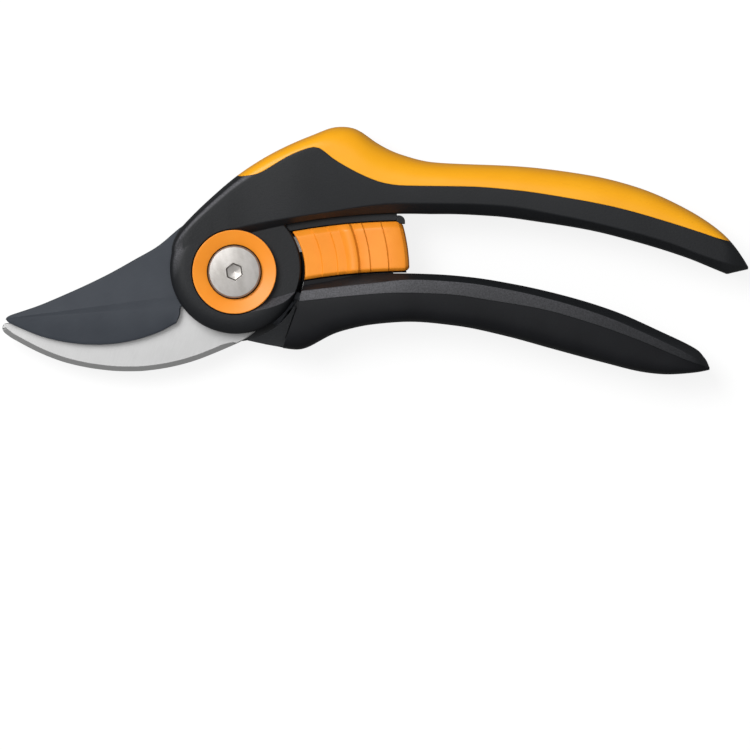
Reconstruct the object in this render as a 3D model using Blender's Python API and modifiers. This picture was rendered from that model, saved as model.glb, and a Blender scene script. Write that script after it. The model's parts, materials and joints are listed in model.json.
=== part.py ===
"""Bypass pruner with a thumb lock, closed and lying on its back face.

X runs along the tool with the tip at -X, Y runs across it from the lower handle to the upper one,
and Z points out of the face that carries the blade. The pivot axis is Z through the origin, and
the back of the pivot nut lies on z = 0.
"""

import math

import bmesh
import bpy
from mathutils import Matrix, Vector

MM = 0.001

# Fits
GAP = 0.3 * MM
STEPS_ROUND = 40

# Layers, from the plane that the tool rests on
MID = 10.0 * MM
CUT_PLANE = 9.5 * MM
HOOK_THICKNESS = 3.0 * MM
BLADE_THICKNESS = 2.8 * MM
FRONT_CHEEK_THICKNESS = 5.85 * MM
REAR_CHEEK_THICKNESS = 4.65 * MM

# Head and pivot
CHEEK_RADIUS = 18.4 * MM
CHEEK_CENTRE = (0.3 * MM, 1.1 * MM)
CHEEK_FILLET = 2.4 * MM
FACE_RECESS = 2.0 * MM
SLOT_RADIUS = 21.0 * MM
RING_RADIUS = 11.73 * MM
RING_THICKNESS = 1.75 * MM
RING_DISH = 0.6 * MM
RING_RECESS = 1.6 * MM
BOLT_HEAD_RADIUS = 7.35 * MM
BOLT_HEAD_THICKNESS = 1.5 * MM
BOLT_HEAD_CHAMFER = 0.4 * MM
BOLT_SHANK_RADIUS = 3.0 * MM
HEX_ACROSS_FLATS = 4.0 * MM
HEX_DEPTH = 2.2 * MM
WASHER_THICKNESS = 0.6 * MM
WASHER_RADIUS = 6.9 * MM
NUT_HEAD_THICKNESS = 2.7 * MM
NUT_FLOOR = 1.2 * MM
SLEEVE_WALL = 0.7 * MM
BUSH_WALL = 1.0 * MM
HUB_RADIUS = 15.2 * MM
HOOK_HUB_RADIUS = 17.5 * MM

# Return spring, in a pocket of the front cheek
SPRING_RADIUS = 8.4 * MM
SPRING_WIRE = 1.0 * MM
SPRING_PITCH = 1.45 * MM
SPRING_TURNS = 1.25
SPRING_START = -140.0
SPRING_LEG = 4.2 * MM
SPRING_POINTS_PER_TURN = 24
POCKET_INNER_RADIUS = 6.3 * MM
POCKET_OUTER_RADIUS = 10.4 * MM

# Reach of the tool from its pivot, and where the handles' inner line crests and turns down
HANDLE_REACH = 143.9 * MM
HANDLE_BEND = 59.2 * MM
JAW_REACH = 65.3 * MM

# Handles
GRIP_COVER = 3.0 * MM
RIB_HALF_WIDTH = 5.0 * MM
GAP_RADIUS = 20.0 * MM
CHIN_RADIUS = 19.2 * MM
CHIN_FLOOR = 13.6 * MM
CHIN_FACE = 15.5 * MM
PIN_RADIUS = 1.75 * MM
PIN_INSET = 0.6 * MM
PIN_PAST_PLATE = 1.6 * MM

# Cutting plates
BLADE_BEVEL = 0.9 * MM
HOOK_BEVEL = 1.35 * MM
HOOK_BEVEL_DEPTH = 1.0 * MM

# Thumb slider, which runs on a wide arc; its crown is the arc's highest point
RAIL_CROWN = (48.6 * MM, 14.2 * MM)
SLIDER_TOP = 184.0 * MM
SLIDER_HEIGHT = 13.9 * MM
SLIDER_TRAVEL = 10.0 * MM
SLIDER_HALF_WIDTH = 6.8 * MM
SLIDER_NOSE_RADIUS = 19.75 * MM
SLIDER_LENGTH = 29.25 * MM
SLIDER_CORNER = 1.2 * MM
RIDGE_RADIUS = 33.5 * MM
RIB_STEP = 0.35 * MM
RIB_RADII = (24.8 * MM, 29.1 * MM, 38.2 * MM, 43.3 * MM)
GUIDE_THICKNESS = 1.7 * MM
GUIDE_HALF_WIDTH = 5.0 * MM
CHANNEL_DEPTH = 4.2 * MM
CHANNEL_HALF_WIDTH = 3.5 * MM
NECK_HALF_WIDTH = 1.5 * MM
CARRIAGE_HEAD = 1.9 * MM
TONGUE_INSET = 1.5 * MM
TONGUE_WIDTH = 4.5 * MM
CARRIAGE_FLOOR = 4.0 * MM
BUMPER_DROP = 0.5 * MM
BUMPER_THICKNESS = 2.4 * MM
STOP_DEPTH = 2.5 * MM
STOP_LENGTH = 1.9 * MM
STOP_SETBACK = 0.6 * MM
GUIDE_SETBACK = 1.1 * MM
CARRIAGE_LENGTH = 4.8 * MM
TONGUE_END_WALL = 1.3 * MM
SCREW_RADIUS = 0.7 * MM
SCREW_HEAD_RADIUS = 1.3 * MM
LEAF_THICKNESS = 0.5 * MM
LEAF_BOW = 0.7 * MM

# Rails of the upper handle, as (x, y) in millimetres
UPPER_BACK = [(-18, 9), (-14.7, 12.9), (-8, 19.6), (2.1, 28.1), (12.2, 34.2), (22.3, 38.6), (29, 40.8),
              (32.3, 40.7), (35.7, 39.3), (39.1, 36.7), (45.8, 33.3), (55.9, 30.8), (79.4, 29.7),
              (99.5, 27.2), (113, 23.8), (126.4, 17.9), (136.5, 11.2), (141.5, 5.6), (143.9, 1.6)]
UPPER_GRIP_LINE = [(-18, 40), (-2, 27.6), (1.1, 26.7), (6.1, 27.2), (10, 29.3), (15.8, 32.7), (21.1, 34.7),
                   (22.8, 35.1), (24.5, 34.4), (26.4, 32.5), (32.2, 28.9), (37, 26.5), (41.8, 24.8),
                   (46.6, 24.1), (65.9, 23.8), (79.4, 22.7), (92.8, 20.7), (106.3, 18.1), (119.7, 14.4),
                   (129.8, 11.2), (136.5, 9.0), (139.1, 8.4), (144, 7.6)]
UPPER_FACE_EDGE = [(-18, 4.6), (-8, 9.4), (3.6, 12.9), (23.9, 16.3), (46.3, 19.1), (63.1, 19), (74.3, 18.5), (91.1, 15.7),
                   (108.5, 11.8), (122.5, 7.8), (130.3, 4.8), (138.5, 2.2), (143.9, 1.1)]
UPPER_INNER = [(-18, 3), (3.6, 9.6), (14.3, 12.8), (27.2, 14.9), (45.4, 16.3), (59.2, 16.4), (72.7, 15.8),
               (86.1, 14.1), (99.5, 11.9), (113, 8.5), (126.4, 4.3), (138.5, -0.5), (143.9, 0.8)]
UPPER_HALF = [(-18, 8.6), (0, 8.6), (20, 10), (95, 10), (118, 9.3), (138.2, 8.2), (143.9, 3.8)]
UPPER_SHOULDER = [(-18, 3), (10, 3.2), (22, 4), (30, 9), (38, 11), (46, 9), (58, 7), (100, 8), (126, 6),
                  (139, 3), (143.9, 0.3)]
UPPER_STATIONS = [-17.6, -14.7, -11, -7, -3, 1, 5, 9, 13, 17, 20, 22.5, 25, 27.5, 30, 32.5, 35, 37.5, 40, 43,
                  47, 52, 58, 65, 72, 79, 86, 93, 100, 107, 113, 119, 125, 130, 134, 137, 139, 140.6, 142.2,
                  143.9]

# Rails of the lower handle
LOWER_INNER = [(8, -5.6), (19.2, -3.9), (25.6, -3.1), (32.3, -2.1), (39.1, -1.1), (45.8, -0.6), (55.9, -0.6),
               (65.9, -1.4), (79.4, -3.6), (92.8, -6.7), (106.3, -10.9), (119.7, -16.8), (129.8, -21.8),
               (131.5, -23.2), (133.1, -26.6)]
LOWER_BAND_TOP = [(8, -6.8), (18.9, -5.3), (39.1, -3.2), (49.1, -2.2), (62.6, -2.9), (76, -4.9), (89.5, -8),
                  (102.9, -12.2), (116.3, -17.9), (128.9, -24.1), (133.1, -26.8)]
LOWER_GRIP_LINE = [(8, -9.4), (18.9, -8.3), (32.3, -6.9), (45.8, -6), (59.2, -6.4), (72.7, -8.3),
                   (86.1, -10.6), (99.5, -14.4), (113, -19.2), (127.5, -25.2), (133.1, -27)]
LOWER_BACK = [(8, -20.1), (15.5, -21.6), (18.3, -21.8), (20, -21.3), (22.3, -20.2), (25.6, -18.3), (29, -16.8),
              (39.1, -14.6), (49.1, -13.9), (62.6, -15.1), (76, -17.9), (89.5, -21.6), (102.9, -25.2),
              (116.3, -28.3), (121.4, -28.7), (129.8, -28.1), (133.1, -27.4)]
LOWER_HALF = [(8, 8.4), (19, 8.8), (34, 9.5), (50, 10), (95, 10), (115, 9.2), (127, 7.9), (131, 6.2), (133.1, 3.4)]
LOWER_STATIONS = [9, 13, 16, 18.3, 20, 22.3, 25.6, 29, 33, 38, 43, 49, 55, 62, 69, 76, 83, 90, 97, 104, 110,
                  116, 121, 125, 128.5, 130.8, 132, 133.1]
LOWER_CORE_END = 129.0

# Outlines of the cutting plates and of the chin, as smooth stretches that meet at corners
BLADE_EDGE = [(-64, -13.2), (-61.7, -14.8), (-55, -17.8), (-48.3, -19.5), (-41.6, -20.3), (-34.9, -20.2),
              (-28.1, -19.1), (-21.4, -16.9), (-16.4, -14.3)]
BLADE_HEEL = [(-16.4, -14.3), (-15.4, -12), (-15, -9.7), (-12.6, -10.2)]
BLADE_TANG_LOWER = [(8.4, -14), (14, -15.6), (22, -14.8), (30, -12.2), (40, -10.6), (46, -10.3)]
BLADE_TANG_UPPER = [(46, -6.2), (36, -6), (26, -6.6), (17.5, -5.4), (15.2, -2.2)]
BLADE_SPINE = [(-3, 15.4), (-9, 15.9), (-14.7, 12.9), (-21.4, 7.4), (-28.1, 3.5), (-34.9, -0.3), (-41.6, -3.6),
               (-48.3, -6.6), (-55, -9.4), (-61.7, -11.6), (-64, -13.2)]
HOOK_OUTER = [(-65.3, -16.5), (-61.7, -19), (-55, -22.5), (-48.3, -25.1), (-41.6, -26.7), (-34.9, -27.6),
              (-29.8, -27.8), (-24.8, -27.6), (-18.1, -26.6), (-11.3, -24.8), (-4.6, -22.2), (2.1, -19.2),
              (6, -16.7)]
HOOK_TANG = [(11.7, 13), (16, 18.5), (22, 21), (30, 21.8), (38, 22.2)]
HOOK_TANG_BACK = [(38, 26.6), (28, 27.4), (16, 26), (5, 21), (-4, 17.2)]
HOOK_SHEAR = [(-15.6, 5), (-17, -4), (-18.6, -9.6), (-21.4, -13.4), (-28.1, -16.1), (-34.9, -17.2), (-41.6, -17.3),
              (-48.3, -16.8), (-55, -15.8), (-61.7, -14.4), (-65.3, -14.6)]
CHIN_PLATE = [(2.9, -19), (8.8, -20.3), (12.2, -20.9), (14, -18), (22, -17.4), (22, -9), (12, -6), (4, -14)]
CHIN_RAISED = [(2.9, -19), (8.8, -20.3), (12.2, -20.9), (14, -17.5), (16.5, -9.8), (12, -6), (4, -14)]
RECESS_FLOOR = [(4.5, -10.7), (18.8, -5.0), (25, -2.6), (25, 20), (4.5, 20)]
RECESS_RIM = [(4.5, -11.1), (18.8, -8.1), (25, -6.8), (25, 20), (4.5, 20)]
GAP_LINE = [(18.3, -7.8), (13.9, -20.2), (11.8, -26), (0, -26), (0, 0), (18.3, 0)]
HOOK_PINS = {"hook_pin_near": (20, 23.6), "hook_pin_far": (31, 24.6)}
BLADE_PINS = {"blade_pin_near": (25, -10.6), "blade_pin_far": (38, -8.4)}

# Levels that follow from the layers
BLADE_LOW = CUT_PLANE + GAP / 2
BLADE_HIGH = BLADE_LOW + BLADE_THICKNESS
HOOK_HIGH = CUT_PLANE - GAP / 2
HOOK_LOW = HOOK_HIGH - HOOK_THICKNESS
HOOK_PIN_TOP = HOOK_HIGH + PIN_PAST_PLATE
BLADE_PIN_TOP = BLADE_HIGH + PIN_PAST_PLATE
SLOT_LOW = HOOK_LOW - GAP
SLOT_HIGH = BLADE_HIGH + GAP
FRONT_FACE = SLOT_HIGH + FRONT_CHEEK_THICKNESS
REAR_FACE = SLOT_LOW - REAR_CHEEK_THICKNESS
FRONT_SEAT = FRONT_FACE - RING_RECESS
REAR_SEAT = REAR_FACE + RING_RECESS
SLEEVE_RADIUS = BOLT_SHANK_RADIUS + GAP + SLEEVE_WALL
BUSH_RADIUS = SLEEVE_RADIUS + GAP + BUSH_WALL
BORE_RADIUS = BUSH_RADIUS + GAP
RING_HOLE_RADIUS = BOLT_HEAD_RADIUS + GAP
SPRING_LOW = SLOT_HIGH + GAP + SPRING_WIRE / 2
SPRING_HIGH = SPRING_LOW + SPRING_TURNS * SPRING_PITCH
POCKET_HIGH = SPRING_HIGH + SPRING_WIRE / 2 + GAP
RAIL_CENTRE = (RAIL_CROWN[0], RAIL_CROWN[1] - SLIDER_TOP)
SLIDER_BOTTOM = SLIDER_TOP - SLIDER_HEIGHT
SLIDER_TAIL_RADIUS = SLIDER_NOSE_RADIUS + SLIDER_LENGTH
JAW_ROOT = SLOT_RADIUS + MM
HANDLE_ROOT = SLIDER_TAIL_RADIUS
TONGUE_UPPER = SLIDER_TOP - TONGUE_INSET
TONGUE_LOWER = TONGUE_UPPER - TONGUE_WIDTH
CARRIAGE_LOW = TONGUE_LOWER - CARRIAGE_FLOOR
BUMPER_TOP = SLIDER_BOTTOM - BUMPER_DROP
BUMPER_BOTTOM = BUMPER_TOP - BUMPER_THICKNESS
UNDERSIDE = SLIDER_TOP + GUIDE_THICKNESS + 2 * GAP
CHANNEL_TOP = UNDERSIDE + CHANNEL_DEPTH
HEAD_LOW = UNDERSIDE + GAP
SLOT_OUTSIDE = -40.0 * MM

SCREW_MARGIN = SCREW_HEAD_RADIUS + 3 * GAP
BUMPER_SPAN = (-28.9 * MM, -17.3 * MM)


def clear_scene():
    """Start from an empty scene."""
    for old in list(bpy.data.objects):
        bpy.data.objects.remove(old, do_unlink=True)


def new_collection(name):
    """A collection of this name under the scene's own."""
    collection = bpy.data.collections.new(name)
    bpy.context.scene.collection.children.link(collection)
    return collection


clear_scene()
PARTS = new_collection("bypass_pruner")
CUTTERS = new_collection("cutters")


def reached(x):
    """A drawn place along the tool, in millimetres, moved with the reach of the jaws and the handles."""
    crest = max(UPPER_INNER, key=lambda point: point[1])[0]
    drawn = [HOOK_OUTER[0][0] * MM, -JAW_ROOT, HANDLE_ROOT, crest * MM, UPPER_BACK[-1][0] * MM]
    real = [-JAW_REACH, -JAW_ROOT, HANDLE_ROOT, HANDLE_BEND, HANDLE_REACH]
    i = sum(1 for place in drawn[1:-1] if place <= x * MM)
    return real[i] + (x * MM - drawn[i]) * (real[i + 1] - real[i]) / (drawn[i + 1] - drawn[i])


def rail(points):
    """A smooth function of x through points given in millimetres."""
    xs = [reached(p[0]) for p in points]
    ys = [p[1] * MM for p in points]
    last = len(xs) - 1
    chords = [(ys[i + 1] - ys[i]) / (xs[i + 1] - xs[i]) for i in range(last)]
    slopes = [chords[0]]
    for before, after in zip(chords, chords[1:]):
        slopes.append(2 * before * after / (before + after) if before * after > 0 else 0.0)
    slopes.append(chords[-1])

    def value(x):
        i = max(0, min(last - 1, sum(1 for known in xs if known <= x) - 1))
        width = xs[i + 1] - xs[i]
        t = (x - xs[i]) / width
        rise = ys[i] * (1 + 2 * t) * (1 - t) ** 2 + ys[i + 1] * t * t * (3 - 2 * t)
        return rise + width * (slopes[i] * t * (1 - t) ** 2 - slopes[i + 1] * t * t * (1 - t))

    return value


def flowing(points, pieces=4):
    """Points along a smooth curve through points given in millimetres, both ends kept."""
    knots = [Vector((reached(x), y * MM)) for x, y in points]
    ends = [2 * knots[0] - knots[1], *knots, 2 * knots[-1] - knots[-2]]
    path = []
    for a, b, c, d in zip(ends, ends[1:], ends[2:], ends[3:]):
        for i in range(pieces):
            t = i / pieces
            path.append(0.5 * (2 * b + (c - a) * t + (2 * a - 5 * b + 4 * c - d) * t * t
                               + (3 * b - a - 3 * c + d) * t ** 3))
    return path + [knots[-1]]


def arc(centre, radius, start, end, pieces):
    """Points on a circle, with angles in degrees anticlockwise from +X."""
    turns = [math.radians(start + (end - start) * i / pieces) for i in range(pieces + 1)]
    return [Vector((centre[0] + radius * math.cos(t), centre[1] + radius * math.sin(t))) for t in turns]


def rail_turn(length):
    """The angle about the slider's centre of a length along its top edge, in degrees."""
    return math.degrees(length / SLIDER_TOP)


def rail_arc(radius, span, pieces=8):
    """Points on a circle about the slider's centre, over a stretch of its arc."""
    return arc(RAIL_CENTRE, radius, 90 - rail_turn(span[0]), 90 - rail_turn(span[1]), pieces)


def widened(span, margin):
    """A stretch of the slider's arc, longer by a margin at both ends."""
    return (span[0] - margin, span[1] + margin)


def band(lower, upper, span, pieces=8):
    """The outline of a strip between two radii of the slider's arc."""
    return rail_arc(lower, span, pieces) + rail_arc(upper, (span[1], span[0]), pieces)


def crossing(radius, rail_radius):
    """Where a circle about the pivot meets the slider's arc, on the side of the handles."""
    centre = Vector(RAIL_CENTRE)
    reach = centre.length
    along = (radius ** 2 - rail_radius ** 2 + reach ** 2) / (2 * reach)
    aside = math.sqrt(radius ** 2 - along ** 2)
    way = centre / reach
    return way * along + Vector((-way.y, way.x)) * aside


def angle_of(point):
    """The angle of a point about the pivot, in degrees."""
    return math.degrees(math.atan2(point.y, point.x))


def rail_place(point):
    """Where a point lies along the slider's arc, as a length from the crown."""
    return SLIDER_TOP * math.atan2(point.x - RAIL_CENTRE[0], point.y - RAIL_CENTRE[1])


# Stretches along the slider's top edge, from its tail forwards
TAIL_PLACE = rail_place(crossing(SLIDER_TAIL_RADIUS, SLIDER_TOP))
STOP_SPAN = (TAIL_PLACE - STOP_SETBACK - STOP_LENGTH, TAIL_PLACE - STOP_SETBACK)
GUIDE_END = STOP_SPAN[0] - GUIDE_SETBACK
CHANNEL_END = GUIDE_END - 2 * SCREW_MARGIN
CARRIAGE_END = CHANNEL_END - 3 * GAP - SLIDER_TRAVEL
CARRIAGE_SPAN = (CARRIAGE_END - CARRIAGE_LENGTH, CARRIAGE_END)
NECK_SPAN = (CARRIAGE_SPAN[0] + 2 * GAP, CARRIAGE_SPAN[1] - 2 * GAP)
CHANNEL_SPAN = (CARRIAGE_SPAN[0] - 3 * GAP, CHANNEL_END)
GUIDE_SPAN = (CHANNEL_SPAN[0] - 2 * SCREW_MARGIN, GUIDE_END)
SCREW_PLACES = {"guide_screw_front": CHANNEL_SPAN[0] - SCREW_MARGIN,
                "guide_screw_rear": CHANNEL_SPAN[1] + SCREW_MARGIN}
TONGUE_TAIL = CARRIAGE_SPAN[1] - TONGUE_END_WALL
SLIDER_SPACE_END = TAIL_PLACE + SLIDER_TRAVEL + 3 * MM


def grown(outline, widths):
    """An outline with each point moved outwards by its own width."""
    count = len(outline)
    area = sum(a.x * b.y - b.x * a.y for a, b in zip(outline, outline[1:] + outline[:1]))
    turn = 1 if area > 0 else -1
    moved = []
    for i, point in enumerate(outline):
        before = (point - outline[i - 1]).normalized()
        after = (outline[(i + 1) % count] - point).normalized()
        outward = Vector((before.y + after.y, -before.x - after.x)) * turn
        outward /= max(0.35, 0.5 * outward.length ** 2)
        moved.append(point + outward * widths[i])
    return moved


def distinct(outline):
    """The outline without points that repeat the one before."""
    kept = []
    for point in outline:
        if not kept or (point - kept[-1]).length > 0.02 * MM:
            kept.append(point)
    if (kept[0] - kept[-1]).length < 0.02 * MM:
        kept.pop()
    return kept


def finish(name, builder):
    """A mesh object from a bmesh, welded and facing outwards."""
    bmesh.ops.remove_doubles(builder, verts=builder.verts, dist=0.001 * MM)
    bmesh.ops.recalc_face_normals(builder, faces=builder.faces)
    mesh = bpy.data.meshes.new(name)
    builder.to_mesh(mesh)
    builder.free()
    mesh.shade_smooth()
    mesh.set_sharp_from_angle(angle=math.radians(35))
    return bpy.data.objects.new(name, mesh)


def loft(name, rings):
    """A closed skin over rings of equally many points."""
    builder = bmesh.new()
    loops = [[builder.verts.new(point) for point in ring] for ring in rings]
    for near, far in zip(loops, loops[1:]):
        for i in range(len(near)):
            builder.faces.new((near[i - 1], near[i], far[i], far[i - 1]))
    builder.faces.new(loops[0])
    builder.faces.new(loops[-1])
    return finish(name, builder)


def level(outline, z):
    """An outline lifted to one height."""
    return [Vector((p.x, p.y, z)) for p in outline]


def plate(name, outline, low, high):
    """A flat outline with thickness, as a filled curve made into a mesh."""
    curve = bpy.data.curves.new(name, "CURVE")
    curve.dimensions = "2D"
    curve.fill_mode = "BOTH"
    curve.extrude = (high - low) / 2
    points = distinct(outline)
    spline = curve.splines.new("POLY")
    spline.points.add(len(points) - 1)
    for control, point in zip(spline.points, points):
        control.co = (point.x, point.y, 0, 1)
    spline.use_cyclic_u = True
    guide = bpy.data.objects.new(name + "_outline", curve)
    CUTTERS.objects.link(guide)
    graph = bpy.context.evaluated_depsgraph_get()
    mesh = bpy.data.meshes.new_from_object(guide.evaluated_get(graph))
    bpy.data.objects.remove(guide, do_unlink=True)
    builder = bmesh.new()
    builder.from_mesh(mesh)
    bpy.data.meshes.remove(mesh)
    bmesh.ops.translate(builder, verts=builder.verts, vec=(0, 0, (low + high) / 2))
    return finish(name, builder)


def cylinder(name, radius, low, high, centre=(0, 0), segments=STEPS_ROUND, top_radius=None):
    """A cylinder or cone along Z."""
    builder = bmesh.new()
    top = radius if top_radius is None else top_radius
    bmesh.ops.create_cone(builder, cap_ends=True, segments=segments, radius1=radius, radius2=top, depth=high - low)
    bmesh.ops.translate(builder, verts=builder.verts, vec=(*centre, (low + high) / 2))
    return finish(name, builder)


def turned(name, profile, centre=(0, 0)):
    """A profile of (radius, height) points spun about Z with a Screw modifier, then made a plain mesh."""
    builder = bmesh.new()
    corners = [builder.verts.new((radius, 0, z)) for radius, z in profile]
    for i in range(len(corners)):
        builder.edges.new((corners[i - 1], corners[i]))
    guide = finish(name + "_profile", builder)
    CUTTERS.objects.link(guide)
    screw = guide.modifiers.new("spin", "SCREW")
    screw.steps = screw.render_steps = STEPS_ROUND
    screw.use_merge_vertices = True
    screw.merge_threshold = 0.01 * MM
    graph = bpy.context.evaluated_depsgraph_get()
    mesh = bpy.data.meshes.new_from_object(guide.evaluated_get(graph))
    bpy.data.objects.remove(guide, do_unlink=True)
    builder = bmesh.new()
    builder.from_mesh(mesh)
    bpy.data.meshes.remove(mesh)
    bmesh.ops.translate(builder, verts=builder.verts, vec=(*centre, 0))
    return finish(name, builder)


def ring_profile(inner, outer, low, high):
    """The four corners of a plain ring."""
    return [(outer, high), (outer, low), (inner, low), (inner, high)]


def combine(target, operation, *tools):
    """Join or cut a piece with helper solids, which stay hidden."""
    for tool in tools:
        if tool.name not in CUTTERS.objects:
            CUTTERS.objects.link(tool)
        tool.hide_render = True
        tool.display_type = "WIRE"
        step = target.modifiers.new(f"{operation.lower()}_{tool.name}", "BOOLEAN")
        step.operation = operation
        step.object = tool
    return target


def cut(target, *tools):
    """Take helper solids away from a piece."""
    return combine(target, "DIFFERENCE", *tools)


def join(target, *tools):
    """Add helper solids to a piece."""
    return combine(target, "UNION", *tools)


def keep(target, *tools):
    """Keep only what lies inside a helper solid."""
    return combine(target, "INTERSECT", *tools)


def paint(piece, colour, roughness, metallic=0.0):
    """Put a finished piece in the parts collection, with its own material."""
    PARTS.objects.link(piece)
    material = bpy.data.materials.new(piece.name)
    material.use_nodes = True
    shader = material.node_tree.nodes["Principled BSDF"]
    shader.inputs["Base Color"].default_value = (*colour, 1)
    shader.inputs["Roughness"].default_value = roughness
    shader.inputs["Metallic"].default_value = metallic
    piece.data.materials.append(material)
    return piece


BLACK = (0.032, 0.034, 0.037)
SOFT_BLACK = (0.016, 0.017, 0.019)
YELLOW = (1.0, 0.45, 0.01)
ORANGE = (1.0, 0.3, 0.03)
SLATE = (0.06, 0.075, 0.095)
SILVER = (0.6, 0.6, 0.6)
STEEL = (0.5, 0.49, 0.47)
BRONZE = (0.55, 0.38, 0.18)


def hump(low, high, half, power, count):
    """Section points from one side of a handle over its back to the other side."""
    turns = [math.pi * i / count for i in range(1, count)]
    rows = []
    for t in turns:
        side = math.copysign(abs(math.cos(t)) ** power, math.cos(t))
        rows.append((low + (high - low) * math.sin(t) ** power, MID + half * side))
    return rows


def upper_envelope(name):
    """The whole upper handle, core and grip together."""
    back, face, inner = rail(UPPER_BACK), rail(UPPER_FACE_EDGE), rail(UPPER_INNER)
    half, shoulder = rail(UPPER_HALF), rail(UPPER_SHOULDER)
    rings = []
    for station in UPPER_STATIONS:
        x = reached(station)
        h = half(x)
        low = back(x) - shoulder(x)
        row = [(inner(x), MID - 0.62 * h), (inner(x), MID + 0.62 * h), (face(x), MID + h), (low, MID + h)]
        row += hump(low, back(x), h, 0.62, 10)
        row += [(low, MID - h), (face(x), MID - h)]
        rings.append([Vector((x, y, z)) for y, z in row])
    return loft(name, rings)


def lower_envelope(name):
    """The whole lower handle, core and grip together."""
    inner, top, line = rail(LOWER_INNER), rail(LOWER_BAND_TOP), rail(LOWER_GRIP_LINE)
    back, half = rail(LOWER_BACK), rail(LOWER_HALF)
    rings = []
    for station in LOWER_STATIONS:
        x = reached(station)
        h = half(x)
        row = [(inner(x), MID - 0.6 * h), (inner(x), MID + 0.6 * h), (top(x), MID + 0.92 * h), (line(x), MID + h)]
        row += hump(line(x), back(x), h, 0.7, 10)
        row += [(line(x), MID - h), (top(x), MID - 0.92 * h)]
        rings.append([Vector((x, y, z)) for y, z in row])
    return loft(name, rings)


def grip_blank(name, line_points, back_points, stations, outward, gap):
    """The space that a soft grip may fill: beyond its line, around the rib that the core keeps inside it."""
    line, back = rail(line_points), rail(back_points)
    far = 60 * MM * outward
    rings = []
    for station in stations:
        x = reached(station)
        edge = line(x) + gap * outward
        rib = max(0.25 * MM, outward * (back(x) - line(x)) - GRIP_COVER) * outward + edge
        wide, rib_half = 2 * MID, RIB_HALF_WIDTH + gap
        row = [(edge, wide), (far, wide), (far, -wide), (edge, -wide)]
        row += [(edge, -rib_half), (rib, -rib_half), (rib, rib_half), (edge, rib_half)]
        rings.append([Vector((x, y, MID + z)) for y, z in row])
    return loft(name, rings)


def blade_outline():
    """The cutting blade's plan, anticlockwise from its tip along the cutting edge."""
    hub_low = arc((0, 0), HUB_RADIUS, 226, 298, 8)
    hub_high = arc((0, 0), HUB_RADIUS, -6, 98, 12)
    return distinct(flowing(BLADE_EDGE) + flowing(BLADE_HEEL, 2) + hub_low + flowing(BLADE_TANG_LOWER, 2)
                    + flowing(BLADE_TANG_UPPER, 2) + hub_high + flowing(BLADE_SPINE, 3))


def hook_outline():
    """The hook's plan, anticlockwise from its tip along the outer edge."""
    hub = arc((0, 0), HOOK_HUB_RADIUS, -67, 46, 12)
    rear = arc((0, 0), HOOK_HUB_RADIUS, 105, 160, 6)
    return distinct(flowing(HOOK_OUTER) + hub + flowing(HOOK_TANG, 2) + flowing(HOOK_TANG_BACK, 2) + rear
                    + flowing(HOOK_SHEAR, 3))


def tang_pocket(name, outline, low, high):
    """Room for a plate's tang inside a handle."""
    return plate(name, grown(outline, [GAP] * len(outline)), low - GAP, high + GAP)


def on_stretch(outline, stretch, width):
    """The width along one stretch of an outline, nothing elsewhere, running out at both ends."""
    path = flowing(stretch)
    reach = len(path) - 1
    widths = []
    for point in outline:
        near = min(range(len(path)), key=lambda i: (path[i] - point).length)
        on_it = (path[near] - point).length < 0.05 * MM
        run_out = min(1.0, near / 3, (reach - near) / 3)
        widths.append(-width * run_out if on_it else 0.0)
    return widths


def cutting_blade():
    outline = blade_outline()
    ground = grown(outline, on_stretch(outline, BLADE_EDGE, BLADE_BEVEL))
    blade = loft("cutting_blade", [level(outline, BLADE_LOW), level(ground, BLADE_HIGH)])
    leg = arc((0, 0), SPRING_RADIUS, SPRING_START, SPRING_START, 1)[0]
    cut(blade, cylinder("blade_bore", BORE_RADIUS, 0, 2 * MID))
    cut(blade, cylinder("spring_leg_hole", SPRING_WIRE / 2 + GAP, 0, 2 * MID, leg, 12))
    for name, (x, y) in BLADE_PINS.items():
        cut(blade, cylinder(name + "_blade_hole", PIN_RADIUS + GAP, 0, 2 * MID, (x * MM, y * MM), 16))
    return paint(blade, SLATE, 0.45, 0.4)


def hook():
    outline = hook_outline()
    strip = grown(outline, on_stretch(outline, HOOK_OUTER, HOOK_BEVEL))
    rings = [level(outline, HOOK_LOW), level(outline, HOOK_HIGH - HOOK_BEVEL_DEPTH), level(strip, HOOK_HIGH)]
    piece = loft("hook", rings)
    cut(piece, cylinder("hook_bore", BORE_RADIUS, 0, 2 * MID))
    for name, (x, y) in HOOK_PINS.items():
        cut(piece, cylinder(name + "_hook_hole", PIN_RADIUS + GAP, 0, 2 * MID, (x * MM, y * MM), 16))
    return paint(piece, SILVER, 0.35, 0.9)


def cheek(name, low, high, fillet_at_top):
    """A disc of the upper handle beside the cutting plates, rounded on its outer rim."""
    bow = [math.radians(22.5 * i) for i in range(5)]
    inset = CHEEK_RADIUS - CHEEK_FILLET
    if fillet_at_top:
        rim = [(inset + CHEEK_FILLET * math.sin(t), high - CHEEK_FILLET * (1 - math.cos(t))) for t in bow]
        rim += [(CHEEK_RADIUS, low)]
        profile = [(0, high)] + rim + [(0, low)]
    else:
        rim = [(inset + CHEEK_FILLET * math.cos(t), low + CHEEK_FILLET * (1 - math.sin(t))) for t in bow]
        profile = [(0, high), (CHEEK_RADIUS, high)] + rim + [(0, low)]
    return turned(name, profile, CHEEK_CENTRE)


def face_recess():
    """The lower floor of the head beside the slider, with a slanted side along the lower handle's band."""
    floor = [Vector(p) * MM for p in RECESS_FLOOR]
    rim = [Vector(p) * MM for p in RECESS_RIM]
    heights = (FRONT_FACE - FACE_RECESS, FRONT_FACE, FRONT_FACE + FACE_RECESS)
    return loft("face_recess", [level(row, z) for row, z in zip((floor, rim, rim), heights)])


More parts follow.
